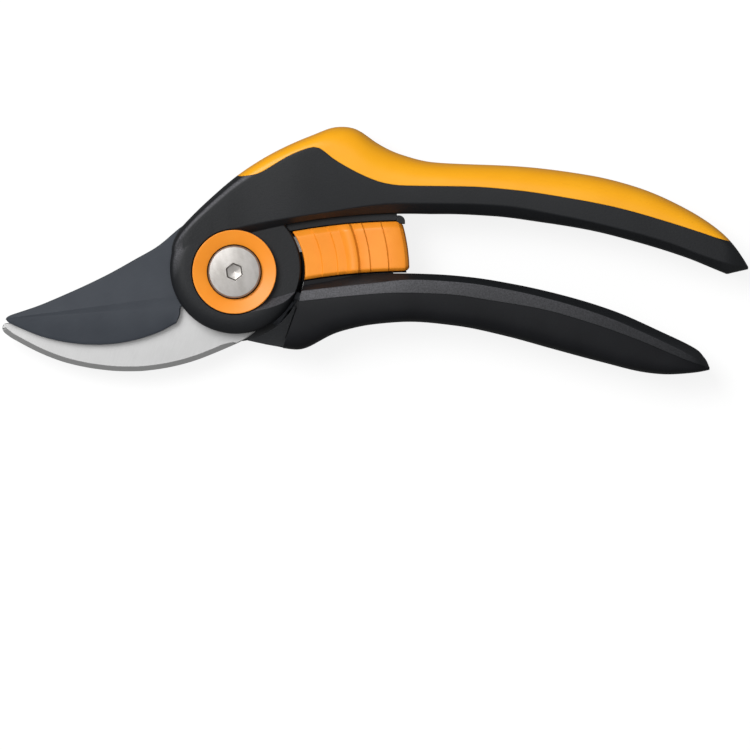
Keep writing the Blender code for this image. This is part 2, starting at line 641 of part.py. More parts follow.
def slider_space():
    """Room under the upper handle for the slider, its guide and its travel."""
    reach = SLIDER_NOSE_RADIUS - GAP
    nose = crossing(reach, UNDERSIDE)
    low = crossing(reach, SLIDER_BOTTOM - GAP)
    outline = arc((0, 0), reach, angle_of(low), angle_of(nose), 10)
    outline += rail_arc(UNDERSIDE, (rail_place(nose), SLIDER_SPACE_END), 16)
    outline += rail_arc(SLIDER_BOTTOM - GAP, (SLIDER_SPACE_END, rail_place(low)), 16)
    return plate("slider_space", outline, -MID, 3 * MID)


def upper_handle():
    core = upper_envelope("upper_handle")
    front_cheek = cut(cheek("front_cheek", SLOT_HIGH, FRONT_FACE, True), face_recess())
    join(core, front_cheek, cheek("rear_cheek", REAR_FACE, SLOT_LOW, False))
    cut(core, grip_blank("upper_grip_space", UPPER_GRIP_LINE, UPPER_BACK, UPPER_STATIONS[3:-1], 1, 0))
    cut(core, cylinder("plate_slot", SLOT_RADIUS, SLOT_LOW, SLOT_HIGH))
    cut(core, tang_pocket("hook_pocket", hook_outline(), HOOK_LOW, HOOK_HIGH))
    cut(core, cylinder("front_recess", RING_RADIUS + GAP, FRONT_SEAT, 3 * MID))
    cut(core, cylinder("rear_recess", RING_RADIUS + GAP, -MID, REAR_SEAT))
    cut(core, cylinder("sleeve_hole", SLEEVE_RADIUS + GAP, -MID, 3 * MID))
    pocket = ring_profile(POCKET_INNER_RADIUS, POCKET_OUTER_RADIUS, SLOT_LOW + GAP, POCKET_HIGH)
    cut(core, turned("spring_pocket", pocket))
    cut(core, leg_slot())
    cut(core, slider_space())
    channel = band(UNDERSIDE - 2 * GAP, CHANNEL_TOP, CHANNEL_SPAN)
    cut(core, plate("carriage_channel", channel, MID - CHANNEL_HALF_WIDTH, MID + CHANNEL_HALF_WIDTH))
    for name, (x, y) in HOOK_PINS.items():
        cut(core, cylinder(name + "_hole", PIN_RADIUS + GAP, -MID, HOOK_PIN_TOP + GAP, (x * MM, y * MM), 16))
    for name, place in SCREW_PLACES.items():
        cut(core, radial_cylinder(name + "_hole", SCREW_RADIUS + GAP, UNDERSIDE - 2 * GAP, CHANNEL_TOP, place))
    return paint(core, BLACK, 0.6)


def upper_grip():
    grip = upper_envelope("upper_grip")
    keep(grip, grip_blank("upper_grip_fill", UPPER_GRIP_LINE, UPPER_BACK, UPPER_STATIONS[3:-1], 1, GAP))
    return paint(grip, YELLOW, 0.5)


def lower_handle():
    core = lower_envelope("lower_handle")
    cut(core, grip_blank("lower_grip_space", LOWER_GRIP_LINE, LOWER_BACK, [0, *LOWER_STATIONS[:-2]], -1, 0))
    cut(core, end_block("lower_core_stop", reached(LOWER_CORE_END)))
    cut(core, cylinder("head_clearance", GAP_RADIUS, -MID, 3 * MID))
    cut(core, plate("gap_line_cut", [Vector(p) * MM for p in GAP_LINE], -MID, 3 * MID))
    join(core, chin())
    cut(core, tang_pocket("blade_pocket", blade_outline(), BLADE_LOW, BLADE_HIGH))
    for name, (x, y) in BLADE_PINS.items():
        cut(core, cylinder(name + "_hole", PIN_RADIUS + GAP, -MID, BLADE_PIN_TOP + GAP, (x * MM, y * MM), 16))
    seat = band(BUMPER_BOTTOM - GAP, BUMPER_TOP + GAP, widened(BUMPER_SPAN, GAP))
    cut(core, plate("bumper_seat", seat, MID - CHANNEL_HALF_WIDTH - GAP, MID + CHANNEL_HALF_WIDTH + GAP))
    return paint(core, BLACK, 0.6)


def end_block(name, start):
    """A block that ends a handle's core at one station."""
    corners = [(start, -60 * MM), (start + 60 * MM, -60 * MM), (start + 60 * MM, 60 * MM), (start, 60 * MM)]
    return plate(name, [Vector(p) for p in corners], -2 * MID, 4 * MID)


def chin():
    """The tongue of the lower handle that reaches under the head, in front of the hook."""
    base = plate("chin", [Vector(p) * MM for p in CHIN_PLATE], BLADE_LOW, CHIN_FLOOR)
    raised = plate("chin_face", [Vector(p) * MM for p in CHIN_RAISED], CHIN_FLOOR - GAP, CHIN_FACE)
    join(base, raised)
    cut(base, cylinder("chin_hub_room", HUB_RADIUS + 2 * GAP, 0, 2 * MID))
    cut(base, cylinder("chin_cheek_room", CHIN_RADIUS, BLADE_HIGH, 2 * MID))
    return base


def lower_grip():
    grip = lower_envelope("lower_grip")
    fill = grip_blank("lower_grip_fill", LOWER_GRIP_LINE, LOWER_BACK, [0, *LOWER_STATIONS[:-2]], -1, GAP)
    join(fill, end_block("lower_grip_nose", reached(LOWER_CORE_END) + GAP))
    keep(grip, fill)
    cut(grip, cylinder("grip_head_clearance", GAP_RADIUS, -MID, 3 * MID))
    cut(grip, plate("grip_gap_line", [Vector(p) * MM for p in GAP_LINE], -MID, 3 * MID))
    return paint(grip, SOFT_BLACK, 0.5)


def pins():
    """Dowels that hold each plate's tang in its handle."""
    for name, (x, y) in HOOK_PINS.items():
        paint(cylinder(name, PIN_RADIUS, PIN_INSET, HOOK_PIN_TOP, (x * MM, y * MM), 16), STEEL, 0.35, 1)
    for name, (x, y) in BLADE_PINS.items():
        low = MID - RIB_HALF_WIDTH + GAP
        paint(cylinder(name, PIN_RADIUS, low, BLADE_PIN_TOP, (x * MM, y * MM), 16), STEEL, 0.35, 1)


def dished_ring(name, seat, outward):
    """A cover ring that slopes in towards the bolt or the nut."""
    low, high = seat + GAP * outward, seat + (GAP + RING_THICKNESS) * outward
    inner_high = high - RING_DISH * outward
    edge = 0.25 * MM * outward
    profile = [(RING_HOLE_RADIUS, inner_high), (RING_RADIUS - abs(edge), high), (RING_RADIUS, high - edge),
               (RING_RADIUS, low), (RING_HOLE_RADIUS, low)]
    return paint(turned(name, profile), ORANGE, 0.4)


def pivot_bolt():
    low = FRONT_SEAT + 2 * GAP + WASHER_THICKNESS
    high = low + BOLT_HEAD_THICKNESS
    rim = BOLT_HEAD_RADIUS - BOLT_HEAD_CHAMFER
    profile = [(0, high), (rim, high), (BOLT_HEAD_RADIUS, high - BOLT_HEAD_CHAMFER), (BOLT_HEAD_RADIUS, low),
               (BOLT_SHANK_RADIUS, low), (BOLT_SHANK_RADIUS, NUT_FLOOR + 2 * MM), (0, NUT_FLOOR + 2 * MM)]
    bolt = turned("pivot_bolt", profile)
    corner = HEX_ACROSS_FLATS / 2 / math.cos(math.pi / 6)
    cut(bolt, cylinder("hex_socket", corner, high - HEX_DEPTH, high + MM, segments=6))
    return paint(bolt, STEEL, 0.3, 1)


def pivot_nut():
    low = REAR_SEAT - GAP - NUT_HEAD_THICKNESS
    head = REAR_SEAT - GAP
    top = FRONT_SEAT - GAP
    rim = BOLT_HEAD_RADIUS - BOLT_HEAD_CHAMFER
    profile = [(BOLT_SHANK_RADIUS + GAP, top), (SLEEVE_RADIUS, top), (SLEEVE_RADIUS, head), (BOLT_HEAD_RADIUS, head),
               (BOLT_HEAD_RADIUS, low + BOLT_HEAD_CHAMFER), (rim, low), (0, low), (0, low + NUT_FLOOR),
               (BOLT_SHANK_RADIUS + GAP, low + NUT_FLOOR)]
    return paint(turned("pivot_nut", profile), STEEL, 0.3, 1)


def spring_washer():
    """A cone washer that keeps the plates pressed together."""
    low, high = FRONT_SEAT + GAP, FRONT_SEAT + GAP + WASHER_THICKNESS
    thick = WASHER_THICKNESS * 0.6
    inner = BOLT_SHANK_RADIUS + GAP
    profile = [(inner, high), (WASHER_RADIUS, low + thick), (WASHER_RADIUS, low), (inner, high - thick)]
    return paint(turned("spring_washer", profile), STEEL, 0.3, 1)


def pivot_bush():
    inner = SLEEVE_RADIUS + GAP
    return paint(turned("pivot_bush", ring_profile(inner, BUSH_RADIUS, HOOK_LOW, BLADE_HIGH)), BRONZE, 0.4, 1)


def spring_end_angle():
    return SPRING_START + 360 * SPRING_TURNS


def leg_slot():
    """The slot in the front cheek that holds the spring's fixed leg."""
    width = SPRING_WIRE / 2 + GAP
    start, end = SPRING_RADIUS, SPRING_RADIUS + SPRING_LEG + 2 * GAP
    corners = [Vector(p) for p in ((start, -width), (end, -width), (end, width), (start, width))]
    turn = Matrix.Rotation(math.radians(spring_end_angle()), 2)
    return plate("spring_leg_slot", [turn @ p for p in corners], SLOT_LOW + GAP, POCKET_HIGH)


def return_spring():
    """A torsion coil: one leg goes down into the blade, the other out into the front cheek."""
    count = round(SPRING_TURNS * SPRING_POINTS_PER_TURN)
    path = []
    for i in range(count + 1):
        share = i / count
        spot = arc((0, 0), SPRING_RADIUS, SPRING_START + 360 * SPRING_TURNS * share, 0, 1)[0]
        path.append(Vector((spot.x, spot.y, SPRING_LOW + SPRING_TURNS * SPRING_PITCH * share)))
    foot = Vector((path[0].x, path[0].y, BLADE_LOW + GAP))
    knee = Vector((path[0].x, path[0].y, path[0].z - 0.4 * MM))
    out = Vector((path[-1].x, path[-1].y, 0)).normalized()
    path = [foot, knee, *path, path[-1] + out * SPRING_WIRE, path[-1] + out * SPRING_LEG]
    curve = bpy.data.curves.new("return_spring", "CURVE")
    curve.dimensions = "3D"
    curve.bevel_depth = SPRING_WIRE / 2
    curve.bevel_resolution = 1
    curve.use_fill_caps = True
    spline = curve.splines.new("POLY")
    spline.points.add(len(path) - 1)
    for control, point in zip(spline.points, path):
        control.co = (*point, 1)
    print("return spring: least gap between turns", round((SPRING_PITCH - SPRING_WIRE) / MM, 2), "mm")
    return paint(bpy.data.objects.new("return_spring", curve), STEEL, 0.35, 1)


def radial_cylinder(name, radius, low, high, place, top_radius=None, segments=12):
    """A cylinder along a radius of the slider's arc."""
    piece = cylinder(name, radius, low, high, segments=segments, top_radius=top_radius)
    turn = math.radians(rail_turn(place))
    aim = Matrix.Rotation(-turn, 4, "Z") @ Matrix.Rotation(math.radians(-90), 4, "X")
    piece.data.transform(Matrix.Translation((*RAIL_CENTRE, MID)) @ aim)
    return piece


def slider_guide():
    """The strip under the upper handle that the slider hangs from."""
    low, high = SLIDER_TOP + GAP, SLIDER_TOP + GAP + GUIDE_THICKNESS
    guide = plate("slider_guide", band(low, high, GUIDE_SPAN), MID - GUIDE_HALF_WIDTH, MID + GUIDE_HALF_WIDTH)
    slot = band(low - GAP, high + GAP, CHANNEL_SPAN)
    cut(guide, plate("neck_slot", slot, MID - NECK_HALF_WIDTH - GAP, MID + NECK_HALF_WIDTH + GAP))
    for name, place in SCREW_PLACES.items():
        cut(guide, radial_cylinder(name + "_sink", SCREW_HEAD_RADIUS + GAP, low - GAP, high + GAP, place,
                                   SCREW_RADIUS + GAP))
    return paint(guide, BLACK, 0.6)


def guide_screws():
    low, high = SLIDER_TOP + GAP, SLIDER_TOP + GAP + GUIDE_THICKNESS
    for name, place in SCREW_PLACES.items():
        screw = radial_cylinder(name, SCREW_RADIUS, low + GAP, CHANNEL_TOP - GAP, place)
        join(screw, radial_cylinder(name + "_head", SCREW_HEAD_RADIUS, low, high, place, SCREW_RADIUS * 0.9))
        paint(screw, STEEL, 0.35, 1)


def detent_spring():
    """A bowed leaf above the carriage that gives the slider its clicks."""
    start, end = CHANNEL_SPAN[0] + 2 * GAP, CHANNEL_SPAN[1] - 2 * GAP
    count = 12
    upper, lower = [], []
    for i in range(count + 1):
        place = start + (end - start) * i / count
        radius = CHANNEL_TOP - GAP - LEAF_BOW * math.sin(math.pi * i / count) ** 2
        upper += rail_arc(radius, (place, place), 1)[:1]
        lower += rail_arc(radius - LEAF_THICKNESS, (place, place), 1)[:1]
    leaf = plate("detent_spring", upper + lower[::-1], MID - NECK_HALF_WIDTH, MID + NECK_HALF_WIDTH)
    return paint(leaf, STEEL, 0.3, 1)


def slider_outline():
    """The thumb slider's plan: arcs about its rail, with ends that follow arcs about the pivot."""
    top_left = crossing(SLIDER_NOSE_RADIUS, SLIDER_TOP)
    low_left = crossing(SLIDER_NOSE_RADIUS, SLIDER_BOTTOM)
    top_right = crossing(SLIDER_TAIL_RADIUS, SLIDER_TOP)
    low_right = crossing(SLIDER_TAIL_RADIUS, SLIDER_BOTTOM)
    outline = rail_arc(SLIDER_BOTTOM, (rail_place(low_left), rail_place(low_right) - SLIDER_CORNER), 12)
    corner = math.degrees(SLIDER_CORNER / SLIDER_TAIL_RADIUS)
    outline += arc((0, 0), SLIDER_TAIL_RADIUS, angle_of(low_right) + corner, angle_of(top_right) - corner, 6)
    outline += rail_arc(SLIDER_TOP, (rail_place(top_right) - SLIDER_CORNER, rail_place(top_left)), 12)
    outline += arc((0, 0), SLIDER_NOSE_RADIUS, angle_of(top_left), angle_of(low_left), 8)
    return distinct(outline)


def rib_block(name, inner, outer, depth, side):
    """A step of the thumb ridge, bounded by arcs about the pivot and set in from the slider's edges."""
    margin = 1.3 * MM
    spots = []
    for radius in (inner, outer):
        low = angle_of(crossing(radius, SLIDER_BOTTOM + margin))
        high = angle_of(crossing(radius, SLIDER_TOP - margin))
        spots.append((radius, low, high))
    outline = arc((0, 0), spots[0][0], spots[0][2], spots[0][1], 6) + arc((0, 0), spots[1][0], spots[1][1], spots[1][2], 6)
    face = MID + side * SLIDER_HALF_WIDTH
    low, high = sorted((face - side * 0.4 * MM, face + side * depth))
    return plate(name, outline, low, high)


def slider_button():
    button = plate("slider_button", slider_outline(), MID - SLIDER_HALF_WIDTH, MID + SLIDER_HALF_WIDTH)
    for side, where in ((1, "front"), (-1, "rear")):
        for i in range(2):
            name = f"thumb_step_{where}_{i}"
            join(button, rib_block(name, RIB_RADII[i], RIB_RADII[3 - i], RIB_STEP * (i + 1), side))
        crest = rib_block(f"thumb_crest_{where}", RIDGE_RADIUS - 1.6 * MM, RIDGE_RADIUS + 1.6 * MM, RIB_STEP * 3.4, side)
        join(button, crest)
    socket = band(SLIDER_TOP - STOP_DEPTH - GAP, SLIDER_TOP + MM, widened(STOP_SPAN, GAP), 3)
    cut(button, plate("stop_socket", socket, MID - NECK_HALF_WIDTH - GAP, MID + NECK_HALF_WIDTH + GAP))
    room = band(CARRIAGE_LOW - GAP, SLIDER_TOP + MM, widened(CARRIAGE_SPAN, GAP))
    cut(button, plate("carriage_room", room, MID - CHANNEL_HALF_WIDTH - GAP, MID + CHANNEL_HALF_WIDTH + GAP))
    slot = band(TONGUE_LOWER - GAP, TONGUE_UPPER + GAP, (SLOT_OUTSIDE, CARRIAGE_SPAN[0]))
    cut(button, plate("tongue_slot", slot, BLADE_LOW - GAP, BLADE_HIGH + GAP))
    return paint(button, ORANGE, 0.42)


def slider_carriage():
    """The block inside the slider whose head runs above the guide strip."""
    base = band(CARRIAGE_LOW, SLIDER_TOP, CARRIAGE_SPAN, 4)
    carriage = plate("slider_carriage", base, MID - CHANNEL_HALF_WIDTH, MID + CHANNEL_HALF_WIDTH)
    neck = band(SLIDER_TOP - MM, HEAD_LOW + MM, NECK_SPAN, 4)
    join(carriage, plate("carriage_neck", neck, MID - NECK_HALF_WIDTH, MID + NECK_HALF_WIDTH))
    head = band(HEAD_LOW, HEAD_LOW + CARRIAGE_HEAD, CARRIAGE_SPAN, 4)
    join(carriage, plate("carriage_head", head, MID - CHANNEL_HALF_WIDTH + GAP, MID + CHANNEL_HALF_WIDTH - GAP))
    slot = band(TONGUE_LOWER - GAP, TONGUE_UPPER + GAP, (SLOT_OUTSIDE, TONGUE_TAIL + GAP))
    cut(carriage, plate("tongue_socket", slot, BLADE_LOW - GAP, BLADE_HIGH + GAP))
    return paint(carriage, BLACK, 0.5)


def slider_stop():
    """The nub on the slider's tail that ends its travel, set on a peg."""
    nub = band(SLIDER_TOP + GAP, UNDERSIDE - GAP, STOP_SPAN, 3)
    stop = plate("slider_stop", nub, MID - CHANNEL_HALF_WIDTH, MID + CHANNEL_HALF_WIDTH)
    peg = band(SLIDER_TOP - STOP_DEPTH, SLIDER_TOP + 2 * GAP, widened(STOP_SPAN, -GAP), 3)
    join(stop, plate("stop_peg", peg, MID - NECK_HALF_WIDTH, MID + NECK_HALF_WIDTH))
    return paint(stop, BLACK, 0.6)


def lock_tongue():
    """The steel tongue that the slider pushes towards the blade's hub."""
    reach = HUB_RADIUS + 1.5 * GAP
    low, high = crossing(reach, TONGUE_LOWER), crossing(reach, TONGUE_UPPER)
    outline = rail_arc(TONGUE_LOWER, (rail_place(low), TONGUE_TAIL))
    outline += rail_arc(TONGUE_UPPER, (TONGUE_TAIL, rail_place(high)))
    outline += arc((0, 0), reach, angle_of(high), angle_of(low), 4)
    return paint(plate("lock_tongue", distinct(outline), BLADE_LOW, BLADE_HIGH), STEEL, 0.35, 1)


def closing_bumper():
    """A rubber strip on the lower handle that meets the slider's underside."""
    outline = band(BUMPER_BOTTOM, BUMPER_TOP, BUMPER_SPAN)
    return paint(plate("closing_bumper", outline, MID - CHANNEL_HALF_WIDTH, MID + CHANNEL_HALF_WIDTH), SOFT_BLACK, 0.7)


def hang_on_rail(pieces):
    """Parent the slider's pieces to an empty on the axis that they turn about."""
    axis = bpy.data.objects.new("slider_axis", None)
    axis.location = (*RAIL_CENTRE, 0)
    PARTS.objects.link(axis)
    for piece in pieces:
        for step in piece.modifiers:
            step.object.data.transform(Matrix.Translation(-axis.location))
            step.object.parent = axis
        piece.data.transform(Matrix.Translation(-axis.location))
        piece.parent = axis


def main():
    upper_handle()
    upper_grip()
    hook()
    cutting_blade()
    lower_handle()
    lower_grip()
    pins()
    dished_ring("front_ring", FRONT_SEAT, 1)
    dished_ring("rear_ring", REAR_SEAT, -1)
    pivot_bolt()
    pivot_nut()
    spring_washer()
    pivot_bush()
    return_spring()
    slider_guide()
    guide_screws()
    detent_spring()
    closing_bumper()
    hang_on_rail([slider_button(), slider_carriage(), slider_stop(), lock_tongue()])


main()
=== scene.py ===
"""Looks of a closed bypass pruner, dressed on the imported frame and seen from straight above.

Places follow the frame: the pivot axis is Z through the origin, the tip lies at -X, the upper handle
at +Y, and the blade faces +Z. Outlines and rails are in millimetres.
"""

import json
import math

import bmesh
import bpy
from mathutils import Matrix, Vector


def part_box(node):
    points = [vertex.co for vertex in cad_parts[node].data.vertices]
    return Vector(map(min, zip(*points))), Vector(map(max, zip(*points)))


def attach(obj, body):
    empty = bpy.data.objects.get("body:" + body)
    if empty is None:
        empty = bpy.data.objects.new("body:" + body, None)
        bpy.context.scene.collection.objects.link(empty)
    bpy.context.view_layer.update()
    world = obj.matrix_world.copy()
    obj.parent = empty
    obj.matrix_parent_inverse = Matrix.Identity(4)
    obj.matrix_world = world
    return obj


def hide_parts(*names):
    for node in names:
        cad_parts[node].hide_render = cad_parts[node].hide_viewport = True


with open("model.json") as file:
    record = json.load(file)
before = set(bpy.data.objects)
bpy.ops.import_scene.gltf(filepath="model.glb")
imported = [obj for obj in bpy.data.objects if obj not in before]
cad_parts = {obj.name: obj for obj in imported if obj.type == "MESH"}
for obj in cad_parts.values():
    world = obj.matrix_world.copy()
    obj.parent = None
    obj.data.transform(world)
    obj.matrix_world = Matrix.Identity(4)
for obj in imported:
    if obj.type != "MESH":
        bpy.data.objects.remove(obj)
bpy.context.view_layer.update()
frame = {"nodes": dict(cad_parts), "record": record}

MM = 0.001
GAP = 0.3 * MM
ROUND_STEPS = 96
PIN_STEPS = 32
ARC_PIECES = 24
LONG_ARC_PIECES = 40
SAME_POINT = 0.02 * MM
WELD = 0.002 * MM
SLIVER = 0.001 * MM

# Levels and radii, read from the frame
MID = sum(corner.z for corner in map(Vector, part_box("upper_grip"))) / 2
HOOK_LOW, HOOK_HIGH = (corner[2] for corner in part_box("hook"))
BLADE_LOW, BLADE_HIGH = (corner[2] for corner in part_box("cutting_blade"))
RING_LOW, RING_HIGH = (corner[2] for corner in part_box("front_ring"))
RING_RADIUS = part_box("front_ring")[1][0]
REAR_RING_LOW, REAR_RING_HIGH = (corner[2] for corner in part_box("rear_ring"))
BOLT_LOW, BOLT_HIGH = (corner[2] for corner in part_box("pivot_bolt"))
BOLT_HEAD_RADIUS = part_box("pivot_bolt")[1][0]
NUT_LOW, NUT_HIGH = (corner[2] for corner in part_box("pivot_nut"))
RAIL_CENTRE = next(Vector(joint["pos_m"][:2]) for joint in frame["record"]["behaviour"]["joints"]
                   if joint["name"] == "lock_slide")

# Head
HEAD_HALF = 8.6 * MM
CHEEK_RADIUS = 18.4 * MM
CHEEK_CENTRE = (0.3 * MM, 1.1 * MM)
CHEEK_CROWN = (4.6 * MM, 3.4 * MM)
CROWN_PIECES = 12
REAR_CHEEK_RADIUS = 19.4 * MM
REAR_CROWN = (2.4 * MM, 2.4 * MM)
HEAD_END_FILLET = 3.0 * MM
HEAD_END_CROWN = 5.6 * MM
FACE_RECESS = 2.0 * MM
SLOT_RADIUS = 21.0 * MM
RING_SEAT = 1.6 * MM
RING_DISH = 1.3 * MM
RING_EDGE = 0.3 * MM
RING_LIP = 0.15 * MM
BOLT_DOME = 0.3 * MM
DOME_PIECES = 10
HEX_TURN = 8.0
HEX_MOUTH = 0.3 * MM
HEX_WALL = 0.8 * MM
HEX_DRAFT = 0.94
HEX_POINT = 0.02
BOLT_HEAD_THICKNESS = 1.5 * MM
BOLT_CHAMFER = 0.4 * MM
BOLT_SHANK_RADIUS = 3.0 * MM
SLEEVE_RADIUS = 4.0 * MM
HEX_ACROSS_FLATS = 4.0 * MM
HEX_DEPTH = 1.15 * MM
NUT_HEAD_THICKNESS = 2.7 * MM
NUT_FLOOR = 1.2 * MM
NUT_EDGE = 0.12 * MM
HUB_RADIUS = 15.2 * MM
HOOK_HUB_RADIUS = 17.5 * MM
BLADE_HUB_LOW = (226, 298)
BLADE_HUB_HIGH = (-6, 98)
HOOK_HUB_FRONT = (-67, 46)
HOOK_HUB_REAR = (105, 160)
BORE_RADIUS = 5.6 * MM
SPRING_LEG = (-6.43 * MM, -5.4 * MM)
SPRING_LEG_HOLE = 0.9 * MM
FRONT_FACE = MID + HEAD_HALF
REAR_FACE = MID - HEAD_HALF
SLOT_LOW, SLOT_HIGH = HOOK_LOW - GAP, BLADE_HIGH + GAP

# Cutting plates: ground widths, broken edges, and how many points a ground strip takes to run in and out
BLADE_BEVEL = 0.9 * MM
BLADE_BREAK = 0.2 * MM
EDGE_LEAN = 0.08 * MM
HOOK_STRIP = 1.35 * MM
HOOK_BREAK = 0.15 * MM
STRIP_DEPTH = 0.5 * MM
STRIP_STOP = 10
ON_EDGE = 0.05 * MM
RUN_IN, RUN_OUT = 2, 4

# Handles
GRIP_COVER = 3.0 * MM
RIB_HALF_WIDTH = 5.0 * MM
GRIP_SEAM = 0.03 * MM
SEAM_LIFT = 0.15 * MM
GAP_RADIUS = 19.55 * MM
CHIN_RADIUS = 19.2 * MM
CHIN_FLOOR = 13.6 * MM
CHIN_FACE = 16.2 * MM
CHIN_SLOPE = 0.2
PIN_RADIUS = 1.75 * MM
RAIL_EASE = 1.6 * MM
CREASE_EASE = 0.3 * MM
LOWER_FULLNESS = 0.42
UPPER_FLAT, LOWER_FLAT = 0.62, 0.6
BAND_WIDTH = 0.92
UPPER_EASES = (0.8 * MM, 0.35 * MM)
LOWER_EASES = (0.8 * MM, 0.25 * MM)
LEAST_HUMP = 0.2 * MM
LEAST_RIB = 0.25 * MM
BLANK_REACH = 60 * MM
UPPER_STATIONS, LOWER_STATIONS, BLANK_STATIONS = 190, 150, 113

# Thumb slider
SLIDER_TOP = 184.0 * MM
SLIDER_BOTTOM = 170.1 * MM
SLIDER_NOSE = 19.75 * MM
UNDERSIDE = 186.3 * MM
SLIDER_SPACE_END = 87.0
GUIDE_HALF = 5.0 * MM
GUIDE_LIFT = 0.05 * MM
NUB_ANGLE = 90.95
NUB_GAP = 0.01
WEB_HALF = 1.5 * MM
WEB_RIM = 0.28 * MM
WEB_DROP = 0.38 * MM
WEB_NOSE = 19.0 * MM
WEB_TAIL = 48.2 * MM
NUB_LENGTH = 2.2 * MM
NUB_FOOT = 0.6 * MM
NUB_ROUND = 0.8
NUB_PIECES = 8
BUMPER_DROP = 0.4 * MM
BUMPER_THICKNESS = 2.4 * MM
BUMPER_END = 91.4

UPPER_BACK = [(-18, 9), (-14.7, 12.9), (-8, 19.6), (2.1, 28.1), (12.2, 34.2), (22.3, 38.6), (29, 40.8),
              (32.3, 40.7), (35.7, 39.3), (39.1, 36.7), (45.8, 33.3), (55.9, 30.8), (79.4, 29.7),
              (99.5, 27.2), (113, 23.8), (126.4, 17.9), (136.5, 11.2), (141.5, 5.6), (143.9, 1.6)]
UPPER_GRIP_LINE = [(-18, 40), (-2, 27.6), (1.1, 26.7), (6.1, 27.2), (10, 29.3), (15.8, 32.7), (21.1, 34.7),
                   (22.8, 35.1), (24.5, 34.4), (26.4, 32.5), (32.2, 28.9), (37, 26.5), (41.8, 24.8),
                   (46.6, 24.1), (65.9, 23.8), (79.4, 22.7), (92.8, 20.7), (106.3, 18.1), (119.7, 14.4),
                   (129.8, 11.2), (136.5, 9.0), (139.1, 8.4), (144, 7.6)]
UPPER_FACE_EDGE = [(-18, 4.6), (-8, 9.4), (3.6, 12.9), (23.9, 16.3), (46.3, 19.1), (63.1, 19), (74.3, 18.5),
                   (91.1, 15.7), (108.5, 11.8), (122.5, 7.8), (130.3, 4.8), (138.5, 2.2), (143.9, 1.1)]
UPPER_INNER = [(-18, 3), (3.6, 9.6), (14.3, 12.8), (27.2, 14.9), (45.4, 16.3), (59.2, 16.4), (72.7, 15.8),
               (86.1, 14.1), (99.5, 11.9), (113, 8.5), (126.4, 4.3), (137.4, -0.15), (138.3, -0.5),
               (139.1, -0.3), (143.9, 0.8)]
UPPER_HALF = [(-18, 8.6), (0, 8.6), (20, 10), (95, 10), (118, 9.3), (138.2, 8.2), (143.9, 3.8)]
UPPER_SHOULDER = [(-18, 4), (10, 4.4), (22, 5), (30, 9), (38, 11), (46, 9), (58, 7), (100, 8), (126, 6),
                  (139, 3), (143.9, 0.3)]
UPPER_FULLNESS = [(-18, 0.62), (22, 0.62), (46, 0.8), (120, 0.8), (143.9, 0.66)]
UPPER_SPAN = (-17.6, 143.9)
UPPER_GRIP_SPAN = (-7, 142.2)

LOWER_INNER = [(8, -5.6), (19.2, -3.7), (25.6, -2.7), (32.3, -1.3), (39.1, -0.55), (45.8, -0.35),
               (55.9, -0.6), (65.9, -1.4), (79.4, -3.6), (92.8, -6.7), (106.3, -10.9), (119.7, -16.8),
               (129.8, -21.8), (131.5, -23.2), (133.1, -26.6)]
LOWER_BAND_TOP = [(8, -6.8), (18.9, -5.3), (39.1, -3.2), (49.1, -2.2), (62.6, -2.9), (76, -4.9), (89.5, -8),
                  (102.9, -12.2), (116.3, -17.9), (128.9, -24.1), (133.1, -26.8)]
LOWER_GRIP_LINE = [(8, -9.4), (18.9, -8.3), (32.3, -6.9), (45.8, -6), (59.2, -6.4), (72.7, -8.3),
                   (86.1, -10.6), (99.5, -14.4), (113, -19.2), (127.5, -25.2), (133.1, -27)]
LOWER_BACK = [(8, -20.1), (15.5, -21.6), (18.3, -21.8), (20, -21.3), (22.3, -20.2), (25.6, -18.3),
              (29, -16.8), (39.1, -14.6), (49.1, -13.9), (62.6, -15.1), (76, -17.9), (89.5, -21.6),
              (102.9, -25.2), (116.3, -28.3), (121.4, -28.7), (129.8, -28.1), (133.1, -27.4)]
LOWER_HALF = [(8, 8.4), (19, 8.8), (34, 9.5), (50, 10), (95, 10), (115, 9.2), (127, 7.9), (131, 6.2),
              (133.1, 3.4)]
LOWER_SPAN = (9, 133.1)
LOWER_GRIP_SPAN = (8.2, 133.6)

BLADE_EDGE = [(-64.2, -13.3), (-63.5, -14.1), (-61.7, -15.0), (-55, -17.8), (-48.3, -19.5),
              (-41.6, -20.3), (-34.9, -20.2), (-28.1, -19.1), (-21.4, -16.9), (-16.4, -14.3)]
BLADE_HEEL = [(-16.4, -14.3), (-15.4, -12), (-15, -9.7), (-12.6, -10.2)]
BLADE_TANG_LOWER = [(8.4, -14), (14, -15.6), (22, -14.8), (30, -12.2), (40, -10.6), (46, -10.3)]
BLADE_TANG_UPPER = [(46, -6.2), (36, -6), (26, -6.6), (17.5, -5.4), (15.2, -2.2)]
BLADE_SPINE = [(-3, 15.4), (-9, 15.9), (-14.7, 12.9), (-21.4, 7.4), (-28.1, 3.5), (-34.9, -0.3),
               (-41.6, -3.6), (-48.3, -6.6), (-55, -9.4), (-61.2, -11.5), (-62.9, -12.1), (-63.9, -12.7),
               (-64.2, -13.3)]
HOOK_OUTER = [(-65.3, -15.7), (-64.9, -16.7), (-63.6, -17.8), (-61.7, -19), (-55, -22.5),
              (-48.3, -25.1), (-41.6, -26.7), (-34.9, -27.6), (-29.8, -27.8), (-24.8, -27.6),
              (-18.1, -26.6), (-11.3, -24.8), (-4.6, -22.2), (2.1, -19.2), (6, -16.7)]
HOOK_TANG = [(11.7, 13), (16, 18.5), (22, 21), (30, 21.8), (38, 22.2)]
HOOK_TANG_BACK = [(38, 26.6), (28, 27.4), (16, 26), (5, 21), (-4, 17.2)]
